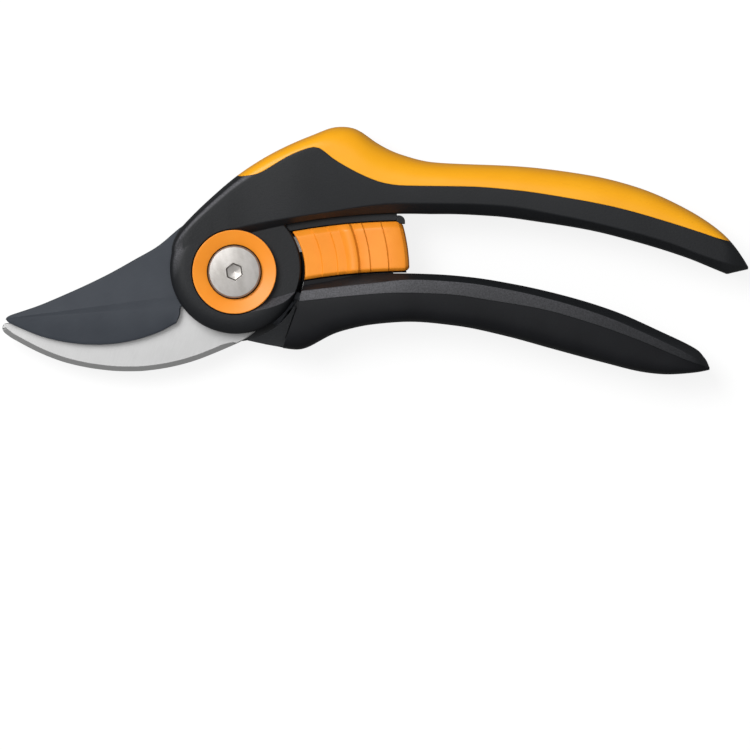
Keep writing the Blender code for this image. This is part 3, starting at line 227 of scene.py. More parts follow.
HOOK_SHEAR = [(-15.6, 5), (-17, -4), (-18.6, -9.6), (-21.4, -13.4), (-28.1, -16.1), (-34.9, -17.2),
              (-41.6, -17.3), (-48.3, -16.8), (-55, -15.8), (-61.7, -14.4), (-64.1, -14.3), (-65.0, -14.8),
              (-65.3, -15.7)]
CHIN_PLATE = [(2.9, -19), (8.8, -20.3), (12.2, -20.9), (14.6, -21.4), (22, -17.4), (22, -9), (12, -6),
              (8, -14), (5.7, -16.7)]
CHIN_RAISED = [(2.9, -19), (8.8, -20.3), (12.2, -20.9), (13.3, -21.1), (15.2, -15.8), (17.3, -9.8), (12, -6),
               (8, -14), (5.7, -16.7)]
RECESS_FLOOR = [(4.5, -9.3), (18.8, -5.0), (25, -2.6), (25, 20), (-7, 20), (-7, 4)]
RECESS_RIM = [(4.5, -11.3), (18.8, -8.1), (25, -6.8), (25, 20), (-7, 20), (-7, 4)]
GAP_LINE = [(18.3, -7.8), (13.9, -20.2), (11.8, -26), (0, -26), (0, 0), (18.3, 0)]
HOOK_PINS = [(20, 23.6), (31, 24.6)]


def flat(points):
    """Points given in millimetres as plan vectors."""
    return [Vector(point) * MM for point in points]


def rail(points, reach=RAIL_EASE):
    """A smooth function of x through points in millimetres, averaged over a short stretch."""
    xs, ys = [x * MM for x, _ in points], [y * MM for _, y in points]
    last = len(xs) - 1
    chords = [(ys[i + 1] - ys[i]) / (xs[i + 1] - xs[i]) for i in range(last)]
    slopes = [chords[0]]
    for before, after in zip(chords, chords[1:]):
        slopes.append(2 * before * after / (before + after) if before * after > 0 else 0.0)
    slopes.append(chords[-1])

    def through(x):
        i = max(0, min(last - 1, sum(1 for known in xs if known <= x) - 1))
        width = xs[i + 1] - xs[i]
        t = (x - xs[i]) / width
        rise = ys[i] * (1 + 2 * t) * (1 - t) ** 2 + ys[i + 1] * t * t * (3 - 2 * t)
        return rise + width * (slopes[i] * t * (1 - t) ** 2 - slopes[i + 1] * t * t * (1 - t))

    def value(x):
        ease = max(0.0, min(reach, x - xs[0], xs[-1] - x))
        return sum(through(x + ease * step / 2) for step in range(-2, 3)) / 5

    return value


def eased(start, end, count):
    """Places along a stretch, closest together at its ends."""
    return [start + (end - start) * (1 - math.cos(math.pi * i / count)) / 2 for i in range(count + 1)]


def flowing(points, pieces=8):
    """Points along a smooth curve through points in millimetres, both ends kept."""
    knots = flat(points)
    ends = [2 * knots[0] - knots[1], *knots, 2 * knots[-1] - knots[-2]]
    path = []
    for a, b, c, d in zip(ends, ends[1:], ends[2:], ends[3:]):
        for i in range(pieces):
            t = i / pieces
            path.append(0.5 * (2 * b + (c - a) * t + (2 * a - 5 * b + 4 * c - d) * t * t
                               + (3 * b - a - 3 * c + d) * t ** 3))
    return path + [knots[-1]]


def arc(centre, radius, start, end, pieces):
    """Points on a circle, with angles in degrees anticlockwise from +X."""
    turns = [math.radians(start + (end - start) * i / pieces) for i in range(pieces + 1)]
    return [Vector((centre[0] + radius * math.cos(t), centre[1] + radius * math.sin(t))) for t in turns]


def crossing(radius, rail_radius):
    """Where a circle about the pivot meets a circle about the slider's centre, on the side of the handles."""
    reach = RAIL_CENTRE.length
    along = (radius ** 2 - rail_radius ** 2 + reach ** 2) / (2 * reach)
    aside = math.sqrt(radius ** 2 - along ** 2)
    way = RAIL_CENTRE / reach
    return way * along + Vector((-way.y, way.x)) * aside


def angle_of(point):
    """The angle of a point about the pivot, in degrees."""
    return math.degrees(math.atan2(point.y, point.x))


def rail_angle(point):
    """The angle of a point about the slider's centre, in degrees."""
    return math.degrees(math.atan2(point.y - RAIL_CENTRE.y, point.x - RAIL_CENTRE.x))


def grown(outline, widths):
    """An outline with each point moved outwards by its own width."""
    count = len(outline)
    area = sum(a.x * b.y - b.x * a.y for a, b in zip(outline, outline[1:] + outline[:1]))
    turn = 1 if area > 0 else -1
    moved = []
    for i, point in enumerate(outline):
        before = (point - outline[i - 1]).normalized()
        after = (outline[(i + 1) % count] - point).normalized()
        outward = Vector((before.y + after.y, -before.x - after.x)) * turn
        outward /= max(0.35, 0.5 * outward.length ** 2)
        moved.append(point + outward * widths[i])
    return moved


def distinct(outline):
    """The outline without points that repeat the one before."""
    kept = []
    for point in outline:
        if not kept or (point - kept[-1]).length > SAME_POINT:
            kept.append(point)
    if (kept[0] - kept[-1]).length < SAME_POINT:
        kept.pop()
    return kept


def level(outline, z):
    """A plan outline lifted to one height."""
    return [Vector((p.x, p.y, z)) for p in outline]


def settled(shape):
    """Merge a shape's doubles and turn its faces outwards."""
    bmesh.ops.remove_doubles(shape, verts=shape.verts, dist=WELD)
    bmesh.ops.dissolve_degenerate(shape, edges=shape.edges, dist=SLIVER)
    bmesh.ops.recalc_face_normals(shape, faces=shape.faces)
    return shape


def loft(rings):
    """A closed skin over rings of equally many points: a grid rolled up, with its open ends filled."""
    shape = bmesh.new()
    across, around = len(rings) - 1, len(rings[0])
    bmesh.ops.create_grid(shape, x_segments=across, y_segments=around, size=0.5)
    for corner in shape.verts:
        ring, spot = round((corner.co.x + 0.5) * across), round((corner.co.y + 0.5) * around)
        corner.co = rings[ring][spot % around]
    bmesh.ops.remove_doubles(shape, verts=shape.verts, dist=WELD)
    bmesh.ops.holes_fill(shape, edges=[edge for edge in shape.edges if edge.is_boundary])
    return settled(shape)


def plate(outline, low, high):
    """A flat outline with thickness."""
    return loft([level(outline, low), level(outline, high)])


def spun(profile, centre=(0, 0)):
    """A closed profile of (radius, height) points turned about Z."""
    shape = bmesh.new()
    corners = [shape.verts.new((radius, 0, z)) for radius, z in profile]
    edges = [shape.edges.new((corners[i - 1], corners[i])) for i in range(len(corners))]
    bmesh.ops.spin(shape, geom=corners + edges, axis=(0, 0, 1), cent=(0, 0, 0), angle=math.tau,
                   steps=ROUND_STEPS, use_merge=True)
    bmesh.ops.translate(shape, verts=shape.verts, vec=(*centre, 0))
    return settled(shape)


def rounded(profile, reaches, pieces=5):
    """A closed profile with each corner rounded by its own reach."""
    corners = [Vector(point) for point in profile]
    run = []
    for i, corner in enumerate(corners):
        before, after = corners[i - 1], corners[(i + 1) % len(corners)]
        if not reaches[i]:
            run.append(corner)
            continue
        into = corner + (before - corner).normalized() * reaches[i]
        out = corner + (after - corner).normalized() * reaches[i]
        for step in range(pieces + 1):
            t = step / pieces
            run.append(into * (1 - t) ** 2 + corner * 2 * t * (1 - t) + out * t * t)
    return run


def drum(radius, low, high, centre=(0, 0), segments=ROUND_STEPS):
    """A plain cylinder along Z."""
    shape = bmesh.new()
    bmesh.ops.create_cone(shape, cap_ends=True, segments=segments, radius1=radius, radius2=radius,
                          depth=high - low)
    bmesh.ops.translate(shape, verts=shape.verts, vec=(*centre, (low + high) / 2))
    return settled(shape)


def as_object(shape, name):
    """A shape as an object of the scene."""
    mesh = bpy.data.meshes.new(name)
    shape.to_mesh(mesh)
    shape.free()
    piece = bpy.data.objects.new(name, mesh)
    bpy.context.scene.collection.objects.link(piece)
    return piece


def worked(shape, *steps):
    """A shape after joins, cuts and keeps with other shapes, given as (operation, shape) pairs."""
    body = as_object(shape, "work")
    tools = []
    for operation, tool in steps:
        tools.append(as_object(tool, "tool"))
        step = body.modifiers.new(operation, "BOOLEAN")
        step.operation = operation
        step.object = tools[-1]
        step.solver = "MANIFOLD"
    graph = bpy.context.evaluated_depsgraph_get()
    result = bmesh.new()
    result.from_mesh(body.evaluated_get(graph).to_mesh())
    for done in [body, *tools]:
        bpy.data.objects.remove(done, do_unlink=True)
    return settled(result)


def show(shape, name, body, node, finish, sharp=25):
    """Put a finished piece on its body, in place of its CAD node."""
    piece = as_object(shape, name)
    piece.data.shade_smooth()
    piece.data.set_sharp_from_angle(angle=math.radians(sharp))
    piece.data.materials.append(finish)
    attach(piece, body)
    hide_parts(node)
    return piece


class Shade:
    """A socket in a finish: arithmetic adds Math nodes, and node() adds any other node."""

    def __init__(self, tree, socket=None):
        self.tree, self.socket = tree, socket

    def node(self, kind, settings=None, sockets=None, out=0):
        made = self.tree.nodes.new(kind)
        for name, value in (settings or {}).items():
            setattr(made, name, value)
        for name, value in (sockets or {}).items():
            self.feed(made.inputs[name], value)
        return Shade(self.tree, made.outputs[out])

    def feed(self, socket, value):
        if isinstance(value, Shade):
            self.tree.links.new(value.socket, socket)
        elif isinstance(value, tuple) and len(socket.default_value) == len(value) + 1:
            socket.default_value = (*value, 1)
        else:
            socket.default_value = value

    def maths(self, operation, first, second):
        return self.node("ShaderNodeMath", {"operation": operation}, {0: first, 1: second})

    def __add__(self, other):
        return self.maths("ADD", self, other)

    def __mul__(self, other):
        return self.maths("MULTIPLY", self, other)

    __radd__, __rmul__ = __add__, __mul__

    def blend(self, first, second):
        """A colour between two, by this value."""
        return self.node("ShaderNodeMix", {"data_type": "RGBA"}, {0: self, 6: first, 7: second}, 2)

    def ramp(self, low, high):
        """This value stretched from low..high to 0..1."""
        return self.node("ShaderNodeMapRange", {}, {"Value": self, "From Min": low, "From Max": high})


SOCKETS = {"colour": "Base Color", "sheen": "Specular IOR Level"}


class Finish:
    """A material whose nodes read Object coordinates."""

    def __init__(self, name, **constants):
        self.material = bpy.data.materials.new(name)
        self.material.use_nodes = True
        self.tree = self.material.node_tree
        self.shader = self.tree.nodes["Principled BSDF"]
        self.start = Shade(self.tree)
        self.place = self.start.node("ShaderNodeTexCoord", out="Object")
        self.normal = self.start.node("ShaderNodeTexCoord", out="Normal")
        for name, value in constants.items():
            self.shader.inputs[SOCKETS.get(name, name.title())].default_value = value

    def noise(self, size, detail=2.0, stretch=(1, 1, 1), turn=0.0):
        """Noise with features of about one size in metres, stretched along the turned axes."""
        spread = self.start.node("ShaderNodeMapping", {"vector_type": "TEXTURE"},
                                 {"Vector": self.place, "Scale": stretch, "Rotation": (0, 0, turn)})
        return self.start.node("ShaderNodeTexNoise", {},
                               {"Vector": spread, "Scale": 1 / size, "Detail": detail})

    def feed(self, **sockets):
        for name, value in sockets.items():
            self.start.feed(self.shader.inputs[SOCKETS.get(name, name.title())], value)

    def relief(self, height, depth, edge=0.3 * MM):
        """Bump of a depth in metres, on edges that are softened by a small radius."""
        soft = self.start.node("ShaderNodeBevel", {"samples": 4}, {"Radius": edge})
        self.feed(normal=self.start.node("ShaderNodeBump", {}, {"Strength": 1.0, "Distance": depth,
                                                                 "Height": height, "Normal": soft}))


def moulded_black(name, full, gone, colour=(0.007, 0.0078, 0.0092), sheen_pale=(0.08, 0.08, 0.088)):
    """Hard textured black plastic, with a painted sheen that makes it paler where it leans towards the key
    light at the upper left, from x = full until x = gone.
    """
    finish = Finish(name, sheen=0.3)
    grain = finish.noise(0.4 * MM, 3)
    cloud = finish.noise(14 * MM)
    # Mask of the painted sheen: faces leaning towards the key light at the upper left, faces turned to the
    # camera, and the stretch along x.
    leaning = finish.start.node("ShaderNodeVectorMath", {"operation": "DOT_PRODUCT"},
                           {0: finish.normal, 1: (-0.3, 0.9, 0)}, "Value").ramp(0.08, 0.26)
    level_part = finish.start.node("ShaderNodeVectorMath", {"operation": "DOT_PRODUCT"},
                              {0: finish.normal, 1: (0, 0, 1)}, "Value")
    level_part = (level_part * level_part).ramp(0.4, 0.7)
    along = finish.start.node("ShaderNodeSeparateXYZ", {}, {0: finish.place}, "X").ramp(gone, full)
    base = (grain * 0.6 + cloud * 0.4).ramp(0.3, 0.7).blend(colour, tuple(1.7 * part for part in colour))
    # Painted sheen: a paler grained black laid on where the mask says light falls.
    painted_sheen = grain.ramp(0.3, 0.7).blend(tuple(0.6 * part for part in sheen_pale),
                                        tuple(1.4 * part for part in sheen_pale))
    finish.feed(colour=(leaning * level_part * along).blend(base, painted_sheen), roughness=0.46 + 0.16 * grain)
    finish.relief(grain, 0.06 * MM)
    return finish.material


def soft_grip(name, dark, light, roughness, sheen):
    """Soft moulded grip with a faint bloom."""
    finish = Finish(name, sheen=sheen)
    bloom = finish.noise(9 * MM, 3)
    pores = finish.noise(0.3 * MM)
    finish.feed(colour=bloom.ramp(0.3, 0.7).blend(dark, light), roughness=roughness - 0.06 + 0.12 * bloom)
    finish.relief(pores, 0.012 * MM)
    return finish.material


def coated_slate(name):
    """Low-friction coating on the blade, over a fine lengthwise grind."""
    finish = Finish(name, metallic=0.25)
    grind = finish.noise(0.3 * MM, 2, (10, 1, 1), math.radians(28))
    cloud = finish.noise(7 * MM, 3)
    shade = (0.25 * grind + 0.75 * cloud).ramp(0.25, 0.75)
    finish.feed(colour=shade.blend((0.026, 0.032, 0.043), (0.035, 0.042, 0.054)),
                roughness=0.38 + 0.1 * cloud)
    finish.relief(grind, 0.003 * MM, 0.12 * MM)
    return finish.material


def ground_steel(name, turn, dark=0.46, light=0.52):
    """Bright steel with a fine grind across it."""
    finish = Finish(name, metallic=1.0)
    grind = finish.noise(0.16 * MM, 2, (18, 1, 1), turn)
    cloud = finish.noise(9 * MM, 3)
    shade = (0.4 * grind + 0.6 * cloud).ramp(0.3, 0.7)
    finish.feed(colour=shade.blend((dark, dark, dark), (light, light, light)), roughness=0.34 + 0.08 * grind)
    finish.relief(grind, 0.002 * MM, 0.12 * MM)
    return finish.material


def turned_steel(name, dark, light):
    """Steel with mottled tumbling marks."""
    finish = Finish(name, metallic=1.0)
    mottle = finish.noise(3.5 * MM, 3, (1, 2.5, 1), math.radians(15))
    fine = finish.noise(0.2 * MM, 2, (5, 1, 1), math.radians(-35))
    finish.feed(colour=(0.8 * mottle + 0.2 * fine).ramp(0.35, 0.65).blend(dark, light),
                roughness=0.32 + 0.12 * mottle)
    finish.relief(fine, 0.003 * MM, 0.15 * MM)
    return finish.material


def orange_plastic(name):
    """Smooth satin orange plastic."""
    finish = Finish(name, sheen=0.4)
    bloom = finish.noise(6 * MM, 3)
    pores = finish.noise(0.25 * MM)
    finish.feed(colour=bloom.ramp(0.3, 0.7).blend((0.97, 0.3, 0.016), (1.0, 0.33, 0.022)),
                roughness=0.36 + 0.1 * bloom)
    finish.relief(pores, 0.008 * MM, 0.25 * MM)
    return finish.material


def softened(corners, reaches, pieces=4):
    """An open run of section points with its inner corners rounded."""
    run = [corners[0]]
    for before, corner, after, reach in zip(corners, corners[1:], corners[2:], reaches):
        into, out = before - corner, after - corner
        start = corner + into.normalized() * min(reach, 0.45 * into.length)
        end = corner + out.normalized() * min(reach, 0.45 * out.length)
        for step in range(pieces + 1):
            t = step / pieces
            run.append(start * (1 - t) ** 2 + corner * 2 * t * (1 - t) + end * t * t)
    return run + [corners[-1]]


def hump(low, high, half, power, count=20):
    """Half of a section from the handle's side up to its back."""
    turns = [math.pi / 2 * i / count for i in range(1, count + 1)]
    return [Vector((low + (high - low) * math.sin(t) ** power, half * max(0.0, math.cos(t)) ** power))
            for t in turns]


def mirrored_ring(x, run):
    """A closed section from its front half, which runs from the inner middle to the back's middle."""
    points = run + [Vector((p.x, -p.y)) for p in run[-2:0:-1]]
    return [Vector((x, p.x, MID + p.y)) for p in points]


def upper_envelope():
    """The whole upper handle, core and grip together, with its head end rounded off."""
    back = rail(UPPER_BACK)
    inner, face = rail(UPPER_INNER, CREASE_EASE), rail(UPPER_FACE_EDGE)
    half, shoulder, fullness = rail(UPPER_HALF), rail(UPPER_SHOULDER), rail(UPPER_FULLNESS)
    rings = []
    for x in eased(UPPER_SPAN[0] * MM, UPPER_SPAN[1] * MM, UPPER_STATIONS):
        from_end = min(1.0, (x - UPPER_SPAN[0] * MM) / HEAD_END_FILLET)
        trim = HEAD_END_FILLET * (1 - math.sqrt(1 - (1 - from_end) ** 2))
        from_crown = min(1.0, (x - UPPER_SPAN[0] * MM) / HEAD_END_CROWN)
        sunk = CHEEK_CROWN[1] * (1 - math.sqrt(1 - (1 - from_crown) ** 2))
        h, top, low = half(x) - sunk, back(x) - trim, back(x) - shoulder(x)
        low = min(low, top - LEAST_HUMP)
        corners = [(inner(x), 0), (inner(x), UPPER_FLAT * h), (face(x), h), (low, h)]
        run = softened([Vector(c) for c in corners], UPPER_EASES)
        run += hump(low, top, h, fullness(x) / MM)
        rings.append(mirrored_ring(x, run))
    return loft(rings)


def lower_envelope():
    """The whole lower handle, core and grip together."""
    inner, top, line = rail(LOWER_INNER), rail(LOWER_BAND_TOP), rail(LOWER_GRIP_LINE)
    back, half = rail(LOWER_BACK), rail(LOWER_HALF)
    rings = []
    for x in eased(LOWER_SPAN[0] * MM, LOWER_SPAN[1] * MM, LOWER_STATIONS):
        h = half(x)
        corners = [(inner(x), 0), (inner(x), LOWER_FLAT * h), (top(x), BAND_WIDTH * h), (line(x), h)]
        run = softened([Vector(c) for c in corners], LOWER_EASES)
        run += hump(line(x), back(x), h, LOWER_FULLNESS)
        rings.append(mirrored_ring(x, run))
    return loft(rings)


def grip_blank(line_points, back_points, span, outward, gap):
    """The space that a soft grip may fill: beyond its line, around the rib that the core keeps inside it."""
    line, back = rail(line_points), rail(back_points)
    far = BLANK_REACH * outward
    rings = []
    for x in eased(span[0] * MM, span[1] * MM, BLANK_STATIONS):
        edge = line(x) + gap * outward
        rib = max(LEAST_RIB, outward * (back(x) - line(x)) - GRIP_COVER) * outward + edge
        wide, rib_half = 2 * MID, RIB_HALF_WIDTH + gap
        row = [(edge, wide), (far, wide), (far, -wide), (edge, -wide)]
        row += [(edge, -rib_half), (rib, -rib_half), (rib, rib_half), (edge, rib_half)]
        rings.append([Vector((x, y, MID + z)) for y, z in row])
    return loft(rings)


def upper_grip_blank(gap):
    return grip_blank(UPPER_GRIP_LINE, UPPER_BACK, UPPER_GRIP_SPAN, 1, gap)


def lower_grip_blank(gap):
    return grip_blank(LOWER_GRIP_LINE, LOWER_BACK, LOWER_GRIP_SPAN, -1, gap)


def cheek(low, high, outward, radius, crown, centre):
    """A disc of the upper handle beside the cutting plates, crowned towards its outer rim."""
    near, far = (low, high) if outward > 0 else (high, low)
    bow = [math.pi / 2 * i / CROWN_PIECES for i in range(CROWN_PIECES + 1)]
    rim = [(radius - crown[0] * (1 - math.sin(t)), far - outward * crown[1] * (1 - math.cos(t))) for t in bow]
    return spun([(0, far), *rim, (radius, near), (0, near)], centre)


def face_recess():
    """The lower floor of the head beside the slider, with a slanted side along the lower handle's band."""
    heights = (FRONT_FACE - FACE_RECESS, FRONT_FACE, FRONT_FACE + FACE_RECESS)
    outlines = (flat(RECESS_FLOOR), flat(RECESS_RIM), flat(RECESS_RIM))
    return loft([level(outline, z) for outline, z in zip(outlines, heights)])


def slider_space():
    """Room under the upper handle for the slider, its guide and its travel."""
    reach = SLIDER_NOSE - GAP
    nose, low = crossing(reach, UNDERSIDE), crossing(reach, SLIDER_BOTTOM - GAP)
    outline = arc((0, 0), reach, angle_of(low), angle_of(nose), ARC_PIECES)
    outline += arc(RAIL_CENTRE, UNDERSIDE, rail_angle(nose), SLIDER_SPACE_END, LONG_ARC_PIECES)
    outline += arc(RAIL_CENTRE, SLIDER_BOTTOM - GAP, SLIDER_SPACE_END, rail_angle(low), LONG_ARC_PIECES)
    return plate(distinct(outline), -MID, 3 * MID)


def upper_core():
    """Hard core of the upper handle, with both cheeks of the head."""
    front = cheek(SLOT_HIGH, FRONT_FACE, 1, CHEEK_RADIUS, CHEEK_CROWN, CHEEK_CENTRE)
    steps = [("UNION", worked(front, ("DIFFERENCE", face_recess()))),
             ("UNION", cheek(REAR_FACE, SLOT_LOW, -1, REAR_CHEEK_RADIUS, REAR_CROWN, (0, 0))),
             ("DIFFERENCE", upper_grip_blank(0)),
             ("DIFFERENCE", drum(SLOT_RADIUS, SLOT_LOW, SLOT_HIGH)),
             ("DIFFERENCE", drum(RING_RADIUS + GAP, FRONT_FACE - RING_SEAT, 3 * MID)),
             ("DIFFERENCE", drum(RING_RADIUS + GAP, -MID, REAR_FACE + RING_SEAT)),
             ("DIFFERENCE", drum(SLEEVE_RADIUS + GAP, -MID, 3 * MID)),
             ("DIFFERENCE", slider_space())]
    for x, y in HOOK_PINS:
        steps.append(("DIFFERENCE", drum(PIN_RADIUS + GAP, -MID, HOOK_LOW, (x * MM, y * MM), PIN_STEPS)))
    return worked(upper_envelope(), *steps)


def upper_grip():
    return worked(upper_envelope(), ("INTERSECT", upper_grip_blank(GRIP_SEAM)))


def chin():
    """The tongue of the lower handle that reaches under the head, in front of the hook."""
    face = flat(CHIN_RAISED)
    sloped = [Vector((p.x, p.y, CHIN_FACE + CHIN_SLOPE * (p.y - face[-3].y))) for p in face]
    return worked(plate(flat(CHIN_PLATE), BLADE_LOW, CHIN_FLOOR),
                  ("UNION", loft([level(face, CHIN_FLOOR - GAP), sloped])),
                  ("DIFFERENCE", drum(HUB_RADIUS + 2 * GAP, 0, 2 * MID)),
                  ("DIFFERENCE", drum(CHIN_RADIUS, BLADE_HIGH, 2 * MID)))


def head_room():
    """What the lower handle leaves free round the head."""
    return (("DIFFERENCE", drum(GAP_RADIUS, -MID, 3 * MID)),
            ("DIFFERENCE", plate(flat(GAP_LINE), -MID, 3 * MID)))


def lower_core():
    """Hard core of the lower handle: the band along its inner side, and the chin."""
    return worked(lower_envelope(), ("DIFFERENCE", lower_grip_blank(-SEAM_LIFT)), *head_room(),
                  ("UNION", chin()))


def lower_grip():
    return worked(lower_envelope(), ("INTERSECT", lower_grip_blank(GRIP_SEAM - SEAM_LIFT)), *head_room())


def blade_outline():
    """The cutting blade's plan, anticlockwise from its tip along the cutting edge."""
    hub_low = arc((0, 0), HUB_RADIUS, *BLADE_HUB_LOW, 16)
    hub_high = arc((0, 0), HUB_RADIUS, *BLADE_HUB_HIGH, ARC_PIECES)
    return distinct(flowing(BLADE_EDGE) + flowing(BLADE_HEEL) + hub_low + flowing(BLADE_TANG_LOWER)
                    + flowing(BLADE_TANG_UPPER) + hub_high + flowing(BLADE_SPINE))


def hook_outline():
    """The hook's plan, anticlockwise from its tip along the outer edge."""
    hub = arc((0, 0), HOOK_HUB_RADIUS, *HOOK_HUB_FRONT, ARC_PIECES)
    rear = arc((0, 0), HOOK_HUB_RADIUS, *HOOK_HUB_REAR, 12)
    return distinct(flowing(HOOK_OUTER) + hub + flowing(HOOK_TANG) + flowing(HOOK_TANG_BACK) + rear
                    + flowing(HOOK_SHEAR))


def on_stretch(outline, stretch, width, elsewhere, stop_short=0):
    """An inset along one stretch of an outline, running out at both ends to the inset elsewhere."""
    path = flowing(stretch)
    reach = len(path) - 1
    insets = []
    for point in outline:
        near = min(range(len(path)), key=lambda i: (path[i] - point).length)
        on_it = (path[near] - point).length < ON_EDGE
        left = reach - near - stop_short
        run_out = math.sqrt(max(0.0, min(1.0, near / RUN_IN, left / RUN_OUT))) if on_it else 0.0
        insets.append(-elsewhere - (width - elsewhere) * run_out)
    return insets


def blade():
    """The blade's plate with its ground edge and a fine break on the other edges."""
    outline = blade_outline()
    ground = grown(outline, on_stretch(outline, BLADE_EDGE, BLADE_BEVEL, BLADE_BREAK))
    break_line = grown(outline, on_stretch(outline, BLADE_EDGE, EDGE_LEAN, 0))
    rings = [level(outline, BLADE_LOW), level(break_line, BLADE_HIGH - BLADE_BREAK),
             level(ground, BLADE_HIGH)]
    return worked(loft(rings), ("DIFFERENCE", drum(BORE_RADIUS, 0, 2 * MID)),
                  ("DIFFERENCE", drum(SPRING_LEG_HOLE, 0, 2 * MID, SPRING_LEG, 16)))


def hook():
    """The hook's plate with the strip ground along its outer edge."""
    outline = hook_outline()
    strip = grown(outline, on_stretch(outline, HOOK_OUTER, HOOK_STRIP, HOOK_BREAK, STRIP_STOP))
    edge = grown(outline, on_stretch(outline, HOOK_OUTER, 0, 0))
    rings = [level(outline, HOOK_LOW), level(edge, HOOK_HIGH - STRIP_DEPTH), level(strip, HOOK_HIGH)]
    return worked(loft(rings), ("DIFFERENCE", drum(BORE_RADIUS, 0, 2 * MID)))


def cover_ring(low, high, outward):
    """A cover ring that slopes in towards the bolt or the nut."""
    base, crest = (low, high) if outward > 0 else (high, low)
    hole = BOLT_HEAD_RADIUS + GAP
    profile = [(hole, crest - RING_DISH * outward), (RING_RADIUS, crest), (RING_RADIUS, base), (hole, base)]
    return spun(rounded(profile, (RING_LIP, RING_EDGE, 0, 0)))


def bolt():
    """The pivot bolt's slightly domed head with its hex socket, on a plain shank."""
    head = BOLT_HIGH - BOLT_HEAD_THICKNESS
    rim = BOLT_HEAD_RADIUS - BOLT_CHAMFER
    shares = [i / DOME_PIECES for i in range(DOME_PIECES)]
    dome = [(rim * share, BOLT_HIGH - BOLT_DOME * share ** 2) for share in shares]
    edge = BOLT_HIGH - BOLT_DOME
    profile = [*dome, (rim, edge), (BOLT_HEAD_RADIUS, edge - BOLT_CHAMFER), (BOLT_HEAD_RADIUS, head),
               (BOLT_SHANK_RADIUS, head), (BOLT_SHANK_RADIUS, BOLT_LOW), (0, BOLT_LOW)]
    return worked(spun(profile), ("DIFFERENCE", hex_socket()))


def hex_socket():
    """A hex key's socket, with walls that draw in a little and a pointed floor."""
    corner = HEX_ACROSS_FLATS / 2 / math.cos(math.pi / 6)
    levels = [(corner + HEX_MOUTH, BOLT_HIGH + GAP), (corner + HEX_MOUTH, BOLT_HIGH),
              (corner, BOLT_HIGH - HEX_MOUTH), (HEX_DRAFT * corner, BOLT_HIGH - HEX_WALL),
              (HEX_POINT * corner, BOLT_HIGH - HEX_DEPTH)]
    turn = 90 + HEX_TURN
    return loft([level(arc((0, 0), radius, turn, turn + 300, 5), z) for radius, z in levels])


def nut():
    """The sleeve nut's flat head on the rear face."""
    head = NUT_LOW + NUT_HEAD_THICKNESS
    rim = BOLT_HEAD_RADIUS - BOLT_CHAMFER
    profile = [(BOLT_SHANK_RADIUS + GAP, NUT_HIGH), (SLEEVE_RADIUS, NUT_HIGH), (SLEEVE_RADIUS, head),
               (BOLT_HEAD_RADIUS, head), (BOLT_HEAD_RADIUS, NUT_LOW + BOLT_CHAMFER), (rim, NUT_LOW),
               (0, NUT_LOW), (0, NUT_LOW + NUT_FLOOR), (BOLT_SHANK_RADIUS + GAP, NUT_LOW + NUT_FLOOR)]
    return spun(rounded(profile, (0, 0, 0, 0, NUT_EDGE, NUT_EDGE, 0, 0, 0)))


# Steps of the thumb slider's face, as (distance from the pivot, height above the middle) in millimetres
SLIDER_STEPS = [(19.75, 5.7), (19.9, 6.05), (20.25, 6.2), (24.45, 5.95), (24.85, 6.45), (28.75, 6.2),
                (29.15, 6.75), (31.4, 6.65), (32.2, 7.3), (33.0, 7.7), (34.2, 7.8), (34.7, 7.65),
                (35.25, 6.65), (36.1, 6.55), (37.95, 6.85), (38.25, 6.4), (43.05, 6.75), (43.35, 6.3),
                (47.0, 6.45), (47.9, 6.15), (48.6, 5.4), (49.0, 4.2)]
SLIDER_TOP_CHAMFER = (1.7, 1.2)
SLIDER_LOW_CHAMFER = (0.8, 0.9)
SLIDER_CORNER_START = 47.0
SLIDER_CORNER = 1.2
SLIDER_CORNER_TURN = 0.98
SLIDER_EASES = (0.3, 0.3, 0.4, 0.3)
FACE_PIECES = 16


def thumb_slider():
    """The thumb slider: rings on arcs about the pivot, from its nose to its tail."""
    low, top = SLIDER_BOTTOM / MM, SLIDER_TOP / MM
    tail = SLIDER_STEPS[-1][0]
    rings = []
    for r, face in SLIDER_STEPS:
        into_corner = max(0.0, r - SLIDER_CORNER_START) / (tail - SLIDER_CORNER_START)
        inset = SLIDER_CORNER * (1 - math.sqrt(1 - SLIDER_CORNER_TURN * into_corner ** 2))
        bottom_side, top_side = low + inset, top - inset
        corners = [(bottom_side, 0), (bottom_side, face - SLIDER_LOW_CHAMFER[1]),
                   (bottom_side + SLIDER_LOW_CHAMFER[0], face), (top_side - SLIDER_TOP_CHAMFER[0], face),
                   (top_side, face - SLIDER_TOP_CHAMFER[1]), (top_side, 0)]
        run = softened([Vector(corner) for corner in corners], SLIDER_EASES)
        middle = len(run) // 2
        across = [run[middle - 1].lerp(run[middle], i / FACE_PIECES) for i in range(1, FACE_PIECES)]
        run[middle:middle] = across
        whole = run + [Vector((p.x, -p.y)) for p in run[-2:0:-1]]
        spots = [(crossing(r * MM, p.x * MM), p.y) for p in whole]
        rings.append([Vector((spot.x, spot.y, MID + height * MM)) for spot, height in spots])
    ends = [[Vector((p.x, p.y, MID)) for p in ring] for ring in (rings[0], rings[-1])]
    return loft([ends[0], *rings, ends[1]])


def rail_band(low, high, start, end, half):
    """A strip between two radii of the slider's arc and two angles about its centre."""
    outline = arc(RAIL_CENTRE, low, start, end, ARC_PIECES) + arc(RAIL_CENTRE, high, end, start, ARC_PIECES)
    return plate(outline, MID - half, MID + half)


def guide_strip():
    """The dark strip under the upper handle that the slider hangs from, from the head to the slider's nub."""
    start = rail_angle(crossing(SLIDER_NOSE - GAP, UNDERSIDE))
    return rail_band(SLIDER_TOP + GAP, UNDERSIDE - GUIDE_LIFT, start, NUB_ANGLE + NUB_GAP, GUIDE_HALF)


